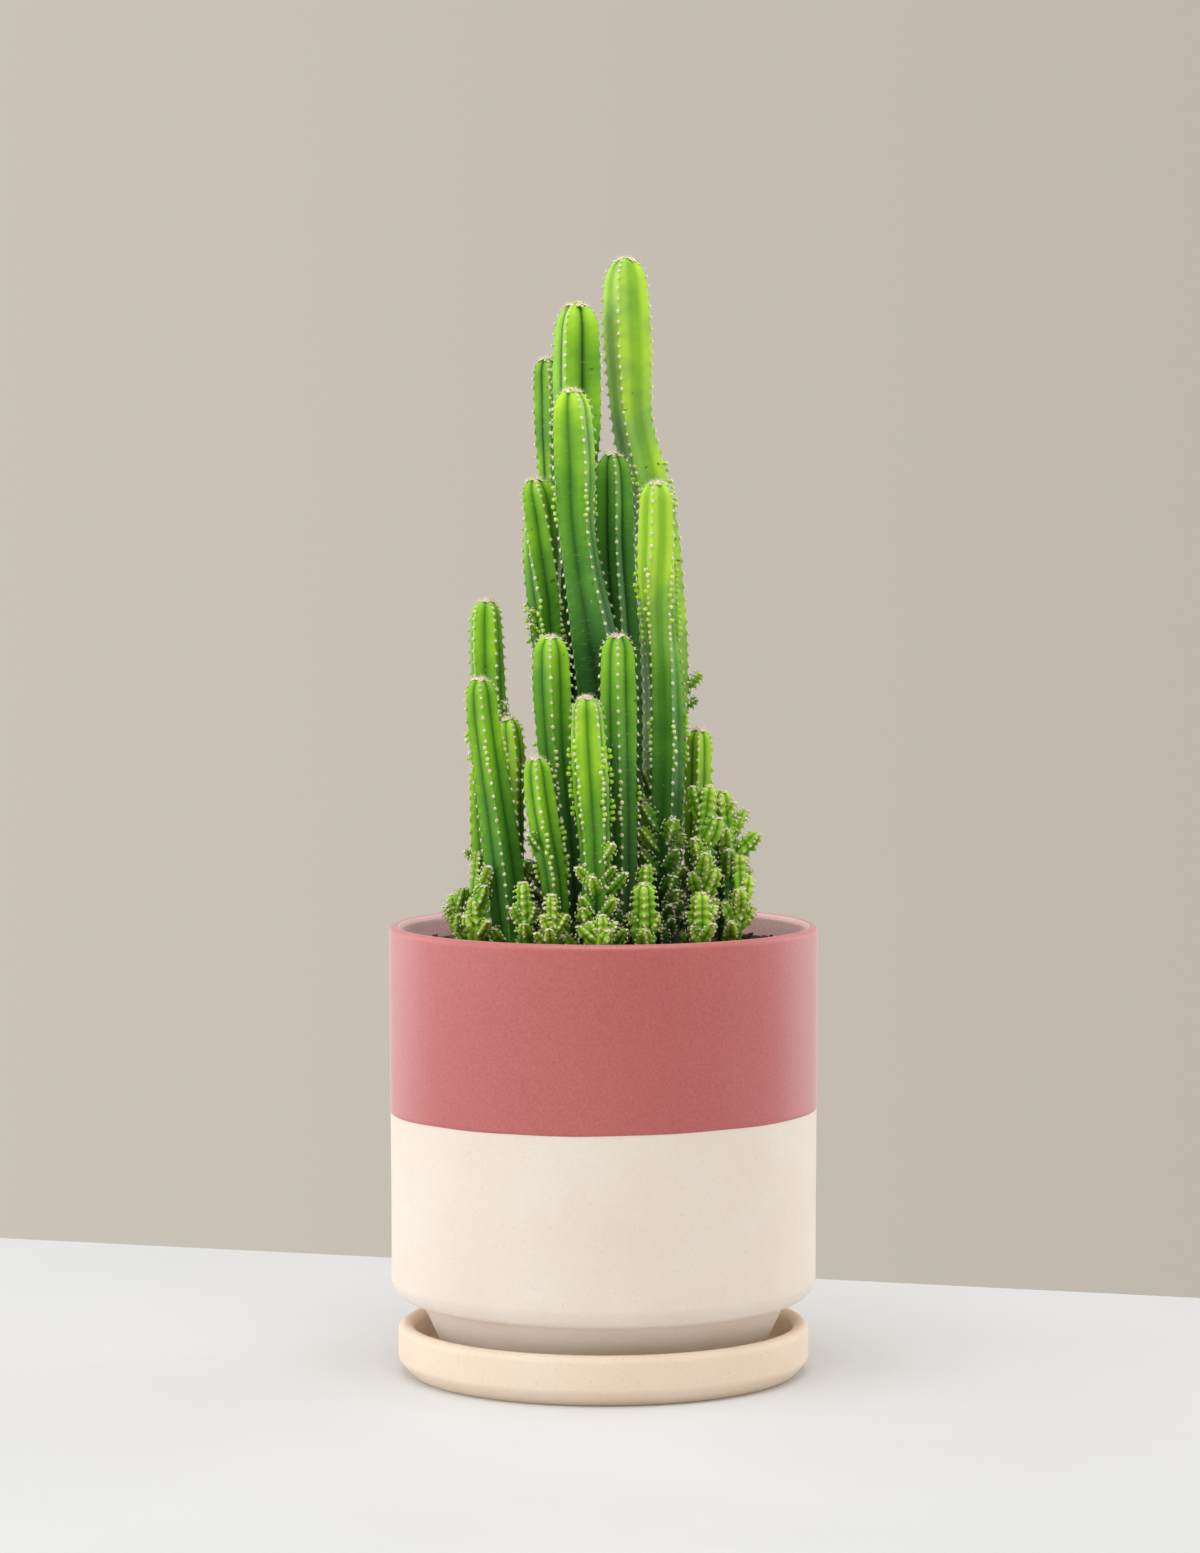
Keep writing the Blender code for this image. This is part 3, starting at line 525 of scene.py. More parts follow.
def add_spines(shape, seat, normal, along, count, length, rng):
    """Thin needles that spread from one areole."""
    across, up = side_axes(normal, along)
    points = []
    tris = []
    for k in range(count):
        turn = math.tau * (k + rng.uniform(0.0, 0.8)) / count
        tilt = math.radians(rng.uniform(*SPINE_TILT))
        flat = across * math.cos(turn) + up * math.sin(turn)
        aim = normal * math.cos(tilt) + flat * math.sin(tilt)
        beside, third = side_axes(aim, normal)
        root = seat + normal * SPINE_LIFT + flat * SPINE_ASIDE
        start = len(points)
        for corner in range(3):
            spin = math.tau * corner / 3
            points.append(root + (beside * math.cos(spin) - third * math.sin(spin)) * SPINE_THICKNESS)
        points.append(root + aim * length * rng.uniform(*SPINE_LENGTHS))
        tris += [(start, start + 1, start + 3), (start + 1, start + 2, start + 3),
                 (start + 2, start, start + 3), (start, start + 2, start + 1)]
    shape.add(points, tris, SPINE, 0.0, rng.random())


def add_knob(shape, seat, normal, size, rng):
    """A budding sprout: a small round knob of fresh skin."""
    normal = normal / np.linalg.norm(normal)
    across, up = side_axes(normal, KNOB_LEAN)
    points = []
    for wide, high in KNOB_RINGS:
        for k in range(KNOB_SIDES):
            turn = math.tau * k / KNOB_SIDES
            out = KNOB_RADIUS * wide * rng.uniform(0.8, 1.2)
            flat = (across * math.cos(turn) + up * math.sin(turn)) * out
            points.append(seat + flat + normal * size * high)
    points += [seat + normal * size * KNOB_TOP, seat - normal * KNOB_BOTTOM]
    shape.add(points, KNOB_TRIS, SKIN, KNOB_SHADE, KNOB_AGE)


def areole_lengths(start, end, form, tufts, rng):
    """Where a rib's areoles sit along the axis: crowded at the tip and in tufts."""
    found = []
    s = end - form["crowd"] * 0.25
    step = form["crowd"] * 0.55
    while s > start:
        found.append(s)
        step = min(step * STEP_GROWTH, form["pitch"])
        local = step * rng.uniform(*STEP_RANGE)
        if any(low < s < high for low, high in tufts):
            local = min(local, form["pitch"] * rng.uniform(*TUFT_STEPS))
        s -= local
    return np.array(found[::-1])


def rib_section(ribs, valley, shares, bulge):
    """Reach at each share of the way from a rib's crest (0) to the valley (1)."""
    half = math.pi / ribs
    shares = np.abs(shares)
    chord = valley * math.sin(half) / (np.sin(half * shares) + valley * np.sin(half * (1.0 - shares)))
    blunt = CREST_BLUNT * (1.0 - np.minimum(shares / CREST_WIDTH, 1.0)) ** 2
    return chord + bulge * np.sin(math.pi * shares ** BULGE_LEAN) - blunt


def rounded(lengths, length, dome):
    """Share of the full radius at each length, falling to nothing over the dome."""
    left = np.clip((length - lengths) / dome, 0.0, 1.0)
    return np.sqrt(np.clip(1.0 - (1.0 - left) ** 2, 0.0, 1.0))


def wobble(lengths, waves):
    """Slow swelling of a rib along its length."""
    return sum(size * np.sin(lengths / span + wave) for (size, span), wave in zip(WOBBLES, waves))


def outward(right, away, theta):
    return right * np.sin(theta)[:, None] - away * np.cos(theta)[:, None]


class Shoot:
    """One ribbed shoot, which adds its skin, areoles, wool and spines to a shape."""

    def __init__(self, shape, rows, ribs, valley, twist, form, foot, tufts, age, rng):
        self.shape = shape
        self.axis = Axis(rows)
        self.base = rows[0][:3]
        self.dome = rows[-1][3] * DOME
        self.ribs = ribs
        self.heights, self.angles = zip(*twist)
        self.form = form
        self.shares = np.array(form["shares"])
        self.section = rib_section(ribs, valley, self.shares, form["bulge"])
        self.foot = foot
        self.tufts = tufts
        self.age = age
        self.rng = rng

    def add(self):
        first = FLARE / 2 if self.foot else self.axis.length * SPROUT_BARE
        ribs = []
        for rib in range(self.ribs):
            seats = areole_lengths(first, self.axis.length, self.form, self.tufts, self.rng)
            waves = [self.rng.uniform(0, math.tau) for _ in range(3)]
            ribs.append((math.tau * rib / self.ribs, seats, waves))
        self.add_skin(ribs)
        self.add_cap()
        for rib in ribs:
            self.add_areoles(*rib)

    def turn_at(self, middle, angle):
        return np.radians(np.interp(middle[:, 2], self.heights, self.angles)) + angle

    def add_skin(self, ribs):
        form, axis = self.form, self.axis
        slopes = np.radians(np.linspace(90.0, LAST_SLOPE, form["dome_rings"]))
        rings = np.concatenate([np.arange(0.0, axis.length - self.dome, form["ring"]),
                                axis.length - self.dome * (1.0 - np.cos(slopes)) - 1e-4])
        middle, right, away, along, radius = axis.frames(rings)
        rounding = rounded(rings, axis.length, self.dome)
        ribbed = np.clip(rings / FLARE, 0.0, 1.0) if self.foot else np.ones(len(rings))
        columns = []
        for angle, seats, waves in ribs:
            crest = radius * (1.0 + wobble(rings, waves))
            turned = self.turn_at(middle, angle)
            phase = np.interp(rings, seats, np.arange(len(seats)))
            saw = (phase + TOOTH_LEAN) % 1.0
            rise = np.where(saw < TOOTH_PEAK, saw / TOOTH_PEAK, (1.0 - saw) / (1.0 - TOOTH_PEAK))
            tooth = (rise - 0.5) * form["tooth"] * ribbed
            for share, high in zip(self.shares, self.section):
                far = abs(share)
                near = max(0.0, 1.0 - (far / form["spread"]) ** form["swell"])
                deep = form["crease"] * far * (1.0 - far) * 4
                crease = deep * np.sin(math.tau * (phase - CREASE_LEAN * far))
                reach = crest * (1.0 - ribbed * (1.0 - high)) + tooth * near + crease * ribbed
                side = outward(right, away, turned + share * math.pi / self.ribs)
                columns.append(middle + side * (reach * rounding)[:, None])
        self.close_skin(rings, columns)

    def close_skin(self, rings, columns):
        """Joins the columns of points into a closed skin, with a foot under the soil's top."""
        across = len(columns)
        points = np.stack(columns, axis=1).reshape(-1, 3)
        share = np.tile(np.abs(self.shares), self.ribs * len(rings))
        youngest, oldest = self.age
        years = (self.axis.length - rings) / self.form["age_length"]
        age = np.repeat(youngest + (oldest - youngest) * years, across)
        index = np.arange(len(points)).reshape(len(rings), across)
        tris = [band(index[:-1], index[1:])]
        edge = index[0]
        bottom = np.array([self.base], dtype=float)
        if self.foot:
            low_ring = points[:across].copy()
            low_ring[:, 2] = FOOT_BOTTOM
            bottom[:, 2] = FOOT_BOTTOM
            edge = np.arange(across) + len(points)
            tris.append(band(edge, index[0]))
            points = np.vstack([points, low_ring])
            share = np.concatenate([share, share[:across]])
            age = np.concatenate([age, age[:across]])
        top = self.axis.read(np.array([self.axis.length]))[:, :3]
        tris.append(fan(len(points), np.roll(edge, -1), edge))
        tris.append(fan(len(points) + 1, index[-1], np.roll(index[-1], -1)))
        self.shape.add(np.vstack([points, bottom, top]), np.vstack(tris), SKIN,
                       np.concatenate([share, [0.5, 0.3]]), np.concatenate([age, [1.0, youngest]]))

    def add_cap(self):
        """Dense wool and upright spines on the very tip."""
        form, rng = self.form, self.rng
        top = self.axis.read(np.array([self.axis.length]))[0]
        radius = float(top[3])
        for _ in range(form["cap"]):
            turn = rng.uniform(0, math.tau)
            out = radius * form["cap_width"] * math.sqrt(rng.random())
            drop = self.dome * (1.0 - math.sqrt(max(0.0, 1.0 - (out / radius) ** 2)))
            x = math.cos(turn) * out
            y = math.sin(turn) * out
            normal = np.array([x / radius, y / radius, 1.0])
            normal /= np.linalg.norm(normal)
            seat = top[:3] + np.array([x, y, -drop - CAP_SINK])
            along = np.array([math.cos(turn + CAP_TURN), math.sin(turn + CAP_TURN), 0.1])
            add_pad(self.shape, seat, normal, along, form["pad"] * rng.uniform(0.8, 1.3), rng)
            add_spines(self.shape, seat, normal, along, 2, form["spine"] * rng.uniform(1.2, 2.0), rng)

    def add_areoles(self, angle, seats, waves):
        """A pad and its spines on each of a rib's teeth, and a knob under most pads in a tuft."""
        form, axis, rng = self.form, self.axis, self.rng
        middle, right, away, along, radius = axis.frames(seats)
        rounding = rounded(seats, axis.length, self.dome)
        side = outward(right, away, self.turn_at(middle, angle))
        reach = (radius * (1.0 + wobble(seats, waves)) + form["tooth"] * 0.5) * rounding
        for k, s in enumerate(seats):
            if self.foot and s < FLARE:
                continue
            up = 1.0 - rounding[k] * TIP_UPRIGHT
            normal = side[k] * (1.0 - up) + along[k] * up
            normal /= np.linalg.norm(normal)
            seat = middle[k] + side[k] * reach[k] - normal * form["sink"]
            near_tip = max(0.0, 1.0 - (axis.length - s) / (self.dome * TIP_REACH))
            size = form["pad"] * rng.uniform(*PAD_SIZES) * (1.0 - TIP_SHRINK * near_tip)
            if any(low < s < high for low, high in self.tufts) and rng.random() < TUFT_SHARE:
                out = rng.uniform(*KNOB_SIZES)
                swing = np.cross(normal, along[k]) * rng.uniform(*KNOB_SWING)
                foot = seat + swing * 0.6
                aim = normal + swing * 0.5
                add_knob(self.shape, foot, aim, out, rng)
                seat = foot + aim * out
            add_pad(self.shape, seat, normal, along[k], size, rng)
            hairs = form["spines"] + int(round(near_tip * form["tip_spines"]))
            length = form["spine"] * (1.0 + 0.5 * near_tip)
            add_spines(self.shape, seat, normal, along[k], hairs, length, rng)


def sprout_rows(parent, tip, drop, radius):
    """A sprout's axis: out of its parent's inside and up to its tip, with a slight bow."""
    level = tip[2] - drop
    root = parent.row_at(level)
    out_x = tip[0] - root[0]
    out_y = tip[1] - root[1]
    reach = math.hypot(out_x, out_y)
    start = min(0.3 * root[3], reach * 0.4) / reach
    middle = start + (1.0 - start) * BOW_OUT
    return [
        (root[0] + out_x * start, root[1] + out_y * start, level, radius * SPROUT_ROOT),
        (root[0] + out_x * middle, root[1] + out_y * middle, level + drop * BOW_UP, radius),
        (*tip, radius * SPROUT_TIP),
    ]


def pup_tips(name, parent, rng):
    """Tips of the small pups that crowd the soil round a stem, as in SPROUTS."""
    count, top = PUPS.get(name, (0, 0))
    found = []
    for k in range(count):
        turn = math.tau * (k + rng.uniform(0.0, 0.7)) / count
        height = SOIL_TOP + PUP_LEAST_HEIGHT + (top - PUP_LEAST_HEIGHT) * rng.random() ** 1.5
        root = parent.row_at(height)
        out = root[3] + rng.uniform(*PUP_REACH)
        x = root[0] + math.cos(turn) * out
        y = root[1] + math.sin(turn) * out
        if math.hypot(x, y) < PUP_LIMIT:
            found.append((x, y, height, rng.uniform(*PUP_DROP), rng.uniform(*PUP_RADIUS)))
    return found


def plant_piece(name, rows, ribs, valley, twist, form, seed, materials):
    """One stem or offset with everything that grows from it, as one piece."""
    rng = random.Random(seed)
    shape = Shape(neighbours(name))
    axis = Axis(rows)
    tufts = [(axis.length_at(low), axis.length_at(high)) for low, high in TUFTS.get(name, [])]
    Shoot(shape, rows, ribs, valley, twist, form, True, tufts, AGES.get(name, USUAL_AGES), rng).add()
    tips = SPROUTS.get(name, []) + GAP_PUPS.get(name, []) + pup_tips(name, axis, rng)
    for x, y, z, drop, radius in tips:
        sprout = sprout_rows(axis, (x, y, z), drop, radius * SPROUT_SWELL)
        ribs = 4 if radius < FIVE_RIBS_FROM else 5
        twist = [(z, rng.uniform(0, 90))]
        age = (rng.uniform(*SPROUT_YOUNGEST), 1.0)
        Shoot(shape, sprout, ribs, SHOOT_VALLEY[ribs], twist, SPROUT_FORM, False, (), age, rng).add()
    piece = shape.build(name + "_grown", materials)
    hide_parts(name)
    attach(piece, "root")


def nodes_of(name):
    """A new material with its node tree and its shader."""
    material = bpy.data.materials.new(name)
    material.use_nodes = True
    tree = material.node_tree
    return material, tree, tree.nodes["Principled BSDF"]


def add_node(tree, kind, **values):
    node = tree.nodes.new(kind)
    for key, value in values.items():
        setattr(node, key, value)
    return node


def connect(tree, socket, value):
    """Links or sets a socket, according to what the value is."""
    if isinstance(value, bpy.types.NodeSocket):
        tree.links.new(value, socket)
    else:
        socket.default_value = value


def feed(tree, node, **values):
    for key, value in values.items():
        connect(tree, node.inputs[key.replace("_", " ")], value)


def attribute(tree, name):
    return add_node(tree, "ShaderNodeAttribute", attribute_name=name).outputs["Fac"]


def ramp(tree, value, stops):
    """The colour at a node's value, between stops of position and colour."""
    node = add_node(tree, "ShaderNodeValToRGB")
    elements = node.color_ramp.elements
    while len(elements) > 1:
        elements.remove(elements[-1])
    elements[0].position, elements[0].color = stops[0]
    for position, colour in stops[1:]:
        elements.new(position).color = colour
    feed(tree, node, Fac=value)
    return node.outputs["Color"]


def mix(tree, factor, first, second, blend="MIX"):
    node = add_node(tree, "ShaderNodeMix", data_type="RGBA", blend_type=blend)
    for socket, value in zip((node.inputs[0], node.inputs[6], node.inputs[7]), (factor, first, second)):
        connect(tree, socket, value)
    return node.outputs[2]


def math_node(tree, operation, first, second):
    node = add_node(tree, "ShaderNodeMath", operation=operation)
    connect(tree, node.inputs[0], first)
    connect(tree, node.inputs[1], second)
    return node.outputs[0]


def noise_at(tree, scale, detail=3.0, roughness=0.5, stretch=None):
    """Noise over the object's own coordinates, in metres."""
    place = add_node(tree, "ShaderNodeTexCoord").outputs["Object"]
    if stretch:
        mapping = add_node(tree, "ShaderNodeMapping")
        feed(tree, mapping, Scale=stretch, Vector=place)
        place = mapping.outputs["Vector"]
    node = add_node(tree, "ShaderNodeTexNoise")
    feed(tree, node, Scale=scale, Detail=detail, Roughness=roughness, Vector=place)
    return node.outputs["Fac"]


def bump_from(tree, shader, height, distance, strength=1.0):
    node = add_node(tree, "ShaderNodeBump")
    feed(tree, node, Distance=distance, Strength=strength, Height=height)
    feed(tree, shader, Normal=node.outputs["Normal"])


def marked(tree, colour, mark):
    """A colour with marks on it where a noise is high."""
    noise, start, full, strength, tint = mark
    stops = [(start, BLACK), (full, rgb(strength, strength, strength))]
    mask = ramp(tree, noise_at(tree, *noise), stops)
    return mix(tree, mask, colour, tint)


WHITE = rgb(255, 255, 255)
BLACK = rgb(0, 0, 0)

# Marks on the skin: a noise's scale, detail, roughness and stretch, where on it the
# marks begin and where they are full, their strength (0-255) and their colour
BLOOM = ((70.0, 5.0, 0.65, (1, 1, 0.35)), 0.54, 0.76, 104, rgb(134, 178, 88))
STREAKS = ((260.0, 3.0, 0.55, (1, 1, 5)), 0.62, 0.66, 88, rgb(170, 206, 130))
FLECKS = ((900.0, 2.0, 0.6), 0.73, 0.77, 210, rgb(214, 228, 170))
SCARS = ((330.0, 1.0), 0.755, 0.775, 230, rgb(86, 74, 34))

# Skin tones by age, from the tip down
STEM_TONES = [(0.0, rgb(182, 226, 58)), (0.14, rgb(150, 204, 44)), (0.34, rgb(106, 168, 40)),
              (0.6, rgb(74, 136, 40)), (1.0, rgb(46, 100, 34))]
PALE_TONES = [(0.0, rgb(182, 224, 66)), (0.12, rgb(146, 192, 82)), (0.34, rgb(106, 166, 46)), *STEM_TONES[3:]]
SPROUT_TONES = [(0.0, rgb(200, 232, 84)), (0.3, rgb(152, 202, 54)), (0.7, rgb(106, 164, 44)),
                (1.0, rgb(74, 132, 38))]


def skin_material(name, tones, valley_shade):
    """Green skin: lime at the tips, deeper with age, with painted shade in the valleys and between shoots."""
    material, tree, shader = nodes_of(name)
    share = attribute(tree, "share")
    patches = math_node(tree, "SUBTRACT", noise_at(tree, 48.0, 3.0), 0.5)
    shift = math_node(tree, "MULTIPLY", patches, 0.7)
    by_age = ramp(tree, math_node(tree, "ADD", attribute(tree, "age"), shift), tones)
    # Painted shade: the skin darkens towards each rib's valley, down to the valley shade colour
    valley = ramp(tree, share, [(0.0, WHITE), (0.35, rgb(244, 246, 240)), (0.7, rgb(196, 214, 180)),
                                     (1.0, valley_shade)])
    colour = mix(tree, 1.0, by_age, valley, "MULTIPLY")
    colour = marked(tree, colour, BLOOM)
    crest = ramp(tree, share, [(0.0, rgb(190, 190, 190)), (0.03, BLACK)])
    colour = mix(tree, crest, colour, rgb(208, 216, 150))
    for mark in (STREAKS, FLECKS, SCARS):
        colour = marked(tree, colour, mark)
    # Painted shade: the skin darkens between crowded shoots and low in the heart of the cluster
    crowd_shade = ramp(tree, attribute(tree, "crowd"), [
        (0.0, WHITE), (0.35, rgb(190, 196, 186)), (0.75, rgb(84, 96, 74)), (1.0, rgb(24, 36, 18))])
    feed(tree, shader, Base_Color=mix(tree, 1.0, colour, crowd_shade, "MULTIPLY"), Roughness=0.55,
         Specular_IOR_Level=0.22, Subsurface_Weight=0.1, Subsurface_Radius=(0.5, 1.0, 0.15),
         Subsurface_Scale=0.0015)
    bump_from(tree, shader, noise_at(tree, 1100.0, 4.0, 0.6), 0.00012, 0.4)
    return material


def wool_material():
    """Cream wool with a tan-pink middle."""
    material, tree, shader = nodes_of("areole_wool")
    by_core = ramp(tree, attribute(tree, "share"), [
        (0.0, rgb(250, 247, 226)), (0.45, rgb(248, 240, 214)), (0.9, rgb(226, 190, 150))])
    by_tone = ramp(tree, attribute(tree, "age"), [
        (0.0, WHITE), (0.7, rgb(248, 242, 226)), (1.0, rgb(216, 196, 160))])
    colour = mix(tree, 0.7, by_core, by_tone, "MULTIPLY")
    # Painted shade: the wool darkens between crowded shoots
    crowd_shade = ramp(tree, attribute(tree, "crowd"), [(0.3, WHITE), (1.0, rgb(128, 122, 96))])
    feed(tree, shader, Base_Color=mix(tree, 1.0, colour, crowd_shade, "MULTIPLY"), Roughness=0.95, Sheen_Weight=0.4)
    bump_from(tree, shader, noise_at(tree, 5000.0, 4.0, 0.7), 0.0003)
    return material


def spine_material():
    material, tree, shader = nodes_of("spine")
    by_tone = ramp(tree, attribute(tree, "age"), [
        (0.0, rgb(246, 238, 214)), (0.7, rgb(226, 206, 168)), (1.0, rgb(176, 138, 96))])
    speck = noise_at(tree, 3000.0, 2.0)
    feed(tree, shader, Base_Color=mix(tree, speck, by_tone, rgb(236, 224, 190)), Roughness=0.6)
    return material


def clay_material(name, base, cloudy, speck_colour):
    """Bare fired clay, clouded, with fine specks and a few larger dots."""
    material, tree, shader = nodes_of(name)
    cloud = ramp(tree, noise_at(tree, 28.0, 4.0, 0.55), [(0.35, BLACK), (0.7, WHITE)])
    colour = mix(tree, cloud, base, cloudy)
    grain = ramp(tree, noise_at(tree, 1500.0, 3.0, 0.6), [(0.3, rgb(120, 120, 120)), (0.5, BLACK)])
    colour = mix(tree, math_node(tree, "MULTIPLY", grain, 0.8), colour, speck_colour)
    dots = ramp(tree, noise_at(tree, 700.0, 1.0, 0.5), [(0.70, BLACK), (0.76, WHITE)])
    colour = mix(tree, math_node(tree, "MULTIPLY", dots, 0.22), colour, speck_colour)
    feed(tree, shader, Base_Color=colour, Roughness=0.72)
    bump_from(tree, shader, noise_at(tree, 1200.0, 5.0, 0.65), 0.0002, 0.5)
    return material


def glaze_material(name, light, deep):
    """Satin glaze with faint clouding, fine grain and dots."""
    material, tree, shader = nodes_of(name)
    cloud = ramp(tree, noise_at(tree, 22.0, 4.0, 0.5, (1, 1, 0.4)), [(0.3, light), (0.7, deep)])
    grain = ramp(tree, noise_at(tree, 1300.0, 3.0, 0.6), [(0.35, rgb(205, 124, 118)), (0.6, WHITE)])
    colour = mix(tree, 0.3, cloud, grain, "MULTIPLY")
    dots = ramp(tree, noise_at(tree, 500.0, 1.0), [(0.72, BLACK), (0.76, WHITE)])
    colour = mix(tree, math_node(tree, "MULTIPLY", dots, 0.06), colour, rgb(225, 160, 150))
    feed(tree, shader, Base_Color=colour, Roughness=0.46, Specular_IOR_Level=0.7, Sheen_Weight=0.6,
         Sheen_Roughness=0.3, Sheen_Tint=(1.0, 0.95, 0.97, 1.0))
    bump_from(tree, shader, noise_at(tree, 900.0, 3.0), 0.0001, 0.3)
    return material


def soil_material(name, dark, mid, light):
    material, tree, shader = nodes_of(name)
    stops = [(0.3, dark), (0.55, mid), (0.78, light)]
    by_noise = ramp(tree, noise_at(tree, 420.0, 5.0, 0.7), stops)
    feed(tree, shader, Base_Color=by_noise, Roughness=0.95)
    bump_from(tree, shader, noise_at(tree, 900.0, 5.0, 0.7), 0.0008)
    return material


def table_material():
    material, tree, shader = nodes_of("table_paint")
    stops = [(0.3, rgb(209, 210, 209)), (0.7, rgb(214, 215, 214))]
    by_noise = ramp(tree, noise_at(tree, 6.0, 3.0), stops)
    feed(tree, shader, Base_Color=by_noise, Roughness=0.6)
    return material


def arc(centre_x, centre_z, radius, start, end, steps):
    angles = [math.radians(start + (end - start) * i / steps) for i in range(steps + 1)]
    return [(centre_x + radius * math.cos(a), centre_z + radius * math.sin(a)) for a in angles]


LATHE_STEPS = 180


def lathe(name, profile, materials, faces_of, shift=None):
    """A closed turned shape; faces_of gives each band's material, shift moves its points."""
    count = len(profile)
    points = []
    for step in range(LATHE_STEPS):
        turn = math.tau * step / LATHE_STEPS
        for k, (x, z) in enumerate(profile):
            if shift:
                x, z = shift(k, x, z, turn)
            points.append((x * math.cos(turn) * MM, x * math.sin(turn) * MM, z * MM))
    faces = []
    kinds = []
    for step in range(LATHE_STEPS):
        here = step * count
        there = (step + 1) % LATHE_STEPS * count
        for k in range(count):
            n = (k + 1) % count
            faces.append((here + k, here + n, there + n, there + k))
            kinds.append(faces_of(k))
    mesh = bpy.data.meshes.new(name)
    mesh.from_pydata(points, [], faces)
    mesh.polygons.foreach_set("material_index", kinds)
    mesh.update()
    mesh.shade_smooth()
    return add_object(name, mesh, materials)


def make_pot(materials):
    """The pot: rounded lip, straight wall with the glaze's edge, shoulder, foot and inside."""
    low = POT_RADIUS - POT_TAPER
    wall_low = low - POT_WALL
    inner = POT_RADIUS - POT_WALL
    glaze_step = 0.16
    inner_round = SHOULDER_ROUND - 1.5
    base = SAUCER_FLOOR + GAP
    floor = base + POT_FLOOR
    profile = arc(POT_RADIUS - LIP_ROUND, POT_TOP - LIP_ROUND, LIP_ROUND, 90, 0, 10)
    profile += [(POT_RADIUS - 0.1, 140.0), (POT_RADIUS - 0.15, 115.0)]
    glaze_from = len(profile)
    edge = POT_RADIUS - POT_TAPER * 0.4
    profile += [(edge, GLAZE_LINE + 1.2), (edge, GLAZE_LINE + 0.3), (edge - glaze_step, GLAZE_LINE)]
    glaze_to = len(profile) - 1
    profile += [(edge - glaze_step, GLAZE_LINE - 1.0), (low, 60.0), (low, SHOULDER_TOP)]
    profile += arc(low - SHOULDER_ROUND, SHOULDER_BOTTOM + SHOULDER_ROUND, SHOULDER_ROUND, 0, -80, 12)
    profile += [(FOOT_TOP_RADIUS + 0.9, SHOULDER_BOTTOM - 0.3), (FOOT_TOP_RADIUS, SHOULDER_BOTTOM - 1.0),
                (FOOT_TOP_RADIUS - 0.8, SHOULDER_BOTTOM - 2.2), (FOOT_TOP_RADIUS - 2.5, 21.0),
                (FOOT_RADIUS + 0.6, 7.0), (FOOT_RADIUS - 0.8, base)]
    profile += [(DRAIN_RADIUS, base), (DRAIN_RADIUS, floor), (FOOT_RADIUS - POT_WALL, floor),
                (FOOT_TOP_RADIUS - POT_WALL - 2.0, 24.0)]
    inside_from = len(profile)
    inner_turn = SHOULDER_BOTTOM + POT_WALL + SHOULDER_ROUND
    profile += arc(wall_low - inner_round, inner_turn, inner_round, -75, 0, 6)
    profile += arc(inner + LIP_ROUND, POT_TOP - LIP_ROUND, LIP_ROUND, 180, 100, 8)

    def shift(k, x, z, turn):
        if glaze_from <= k <= glaze_to + 1:
            waver = 0.10 * math.sin(turn * 5 + 0.7) + 0.07 * math.sin(turn * 13 + 2.0)
            z += GLAZE_TILT * x * math.cos(turn) + waver
        return x, z

    # Face kinds: 0 bare clay, 1 pink glaze, 2 the paler inside glaze that carries painted light
    def face_kind(k):
        if glaze_to <= k < inside_from:
            return 0
        return 2 if inside_from <= k < len(profile) - 2 else 1

    pot = lathe("pot_body", profile, materials, face_kind, shift)
    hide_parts("pot")
    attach(pot, "root")


def make_saucer(clay):
    """The saucer: a flat dish with an upright wall and rounded rim."""
    inner = SAUCER_RADIUS - SAUCER_WALL
    rim = SAUCER_WALL / 2
    corner = 3.0
    heel = 1.6
    middle = 0.4
    profile = [(middle, SAUCER_FLOOR), (inner - corner, SAUCER_FLOOR)]
    profile += arc(inner - corner, SAUCER_FLOOR + corner, corner, -70, 0, 5)
    profile += arc(inner + rim, SAUCER_HEIGHT - rim, rim, 180, 0, 16)
    profile += [(SAUCER_RADIUS, 9.0)]
    profile += arc(SAUCER_RADIUS - corner, 6.2, corner, 0, -42, 6)
    profile += arc(SAUCER_BASE_RADIUS + 0.4, heel, heel, -50, -90, 5)
    profile += [(SAUCER_BASE_RADIUS - 3.0, 0.0), (middle, 0.0)]
    saucer = lathe("saucer_dish", profile, [clay], lambda k: 0)
    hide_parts("saucer")
    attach(saucer, "root")


SOIL_SEED = 31
SOIL_WAVES = 24
SOIL_ROUGH = 0.13
SOIL_LUMPS = (-0.25, 0.25)


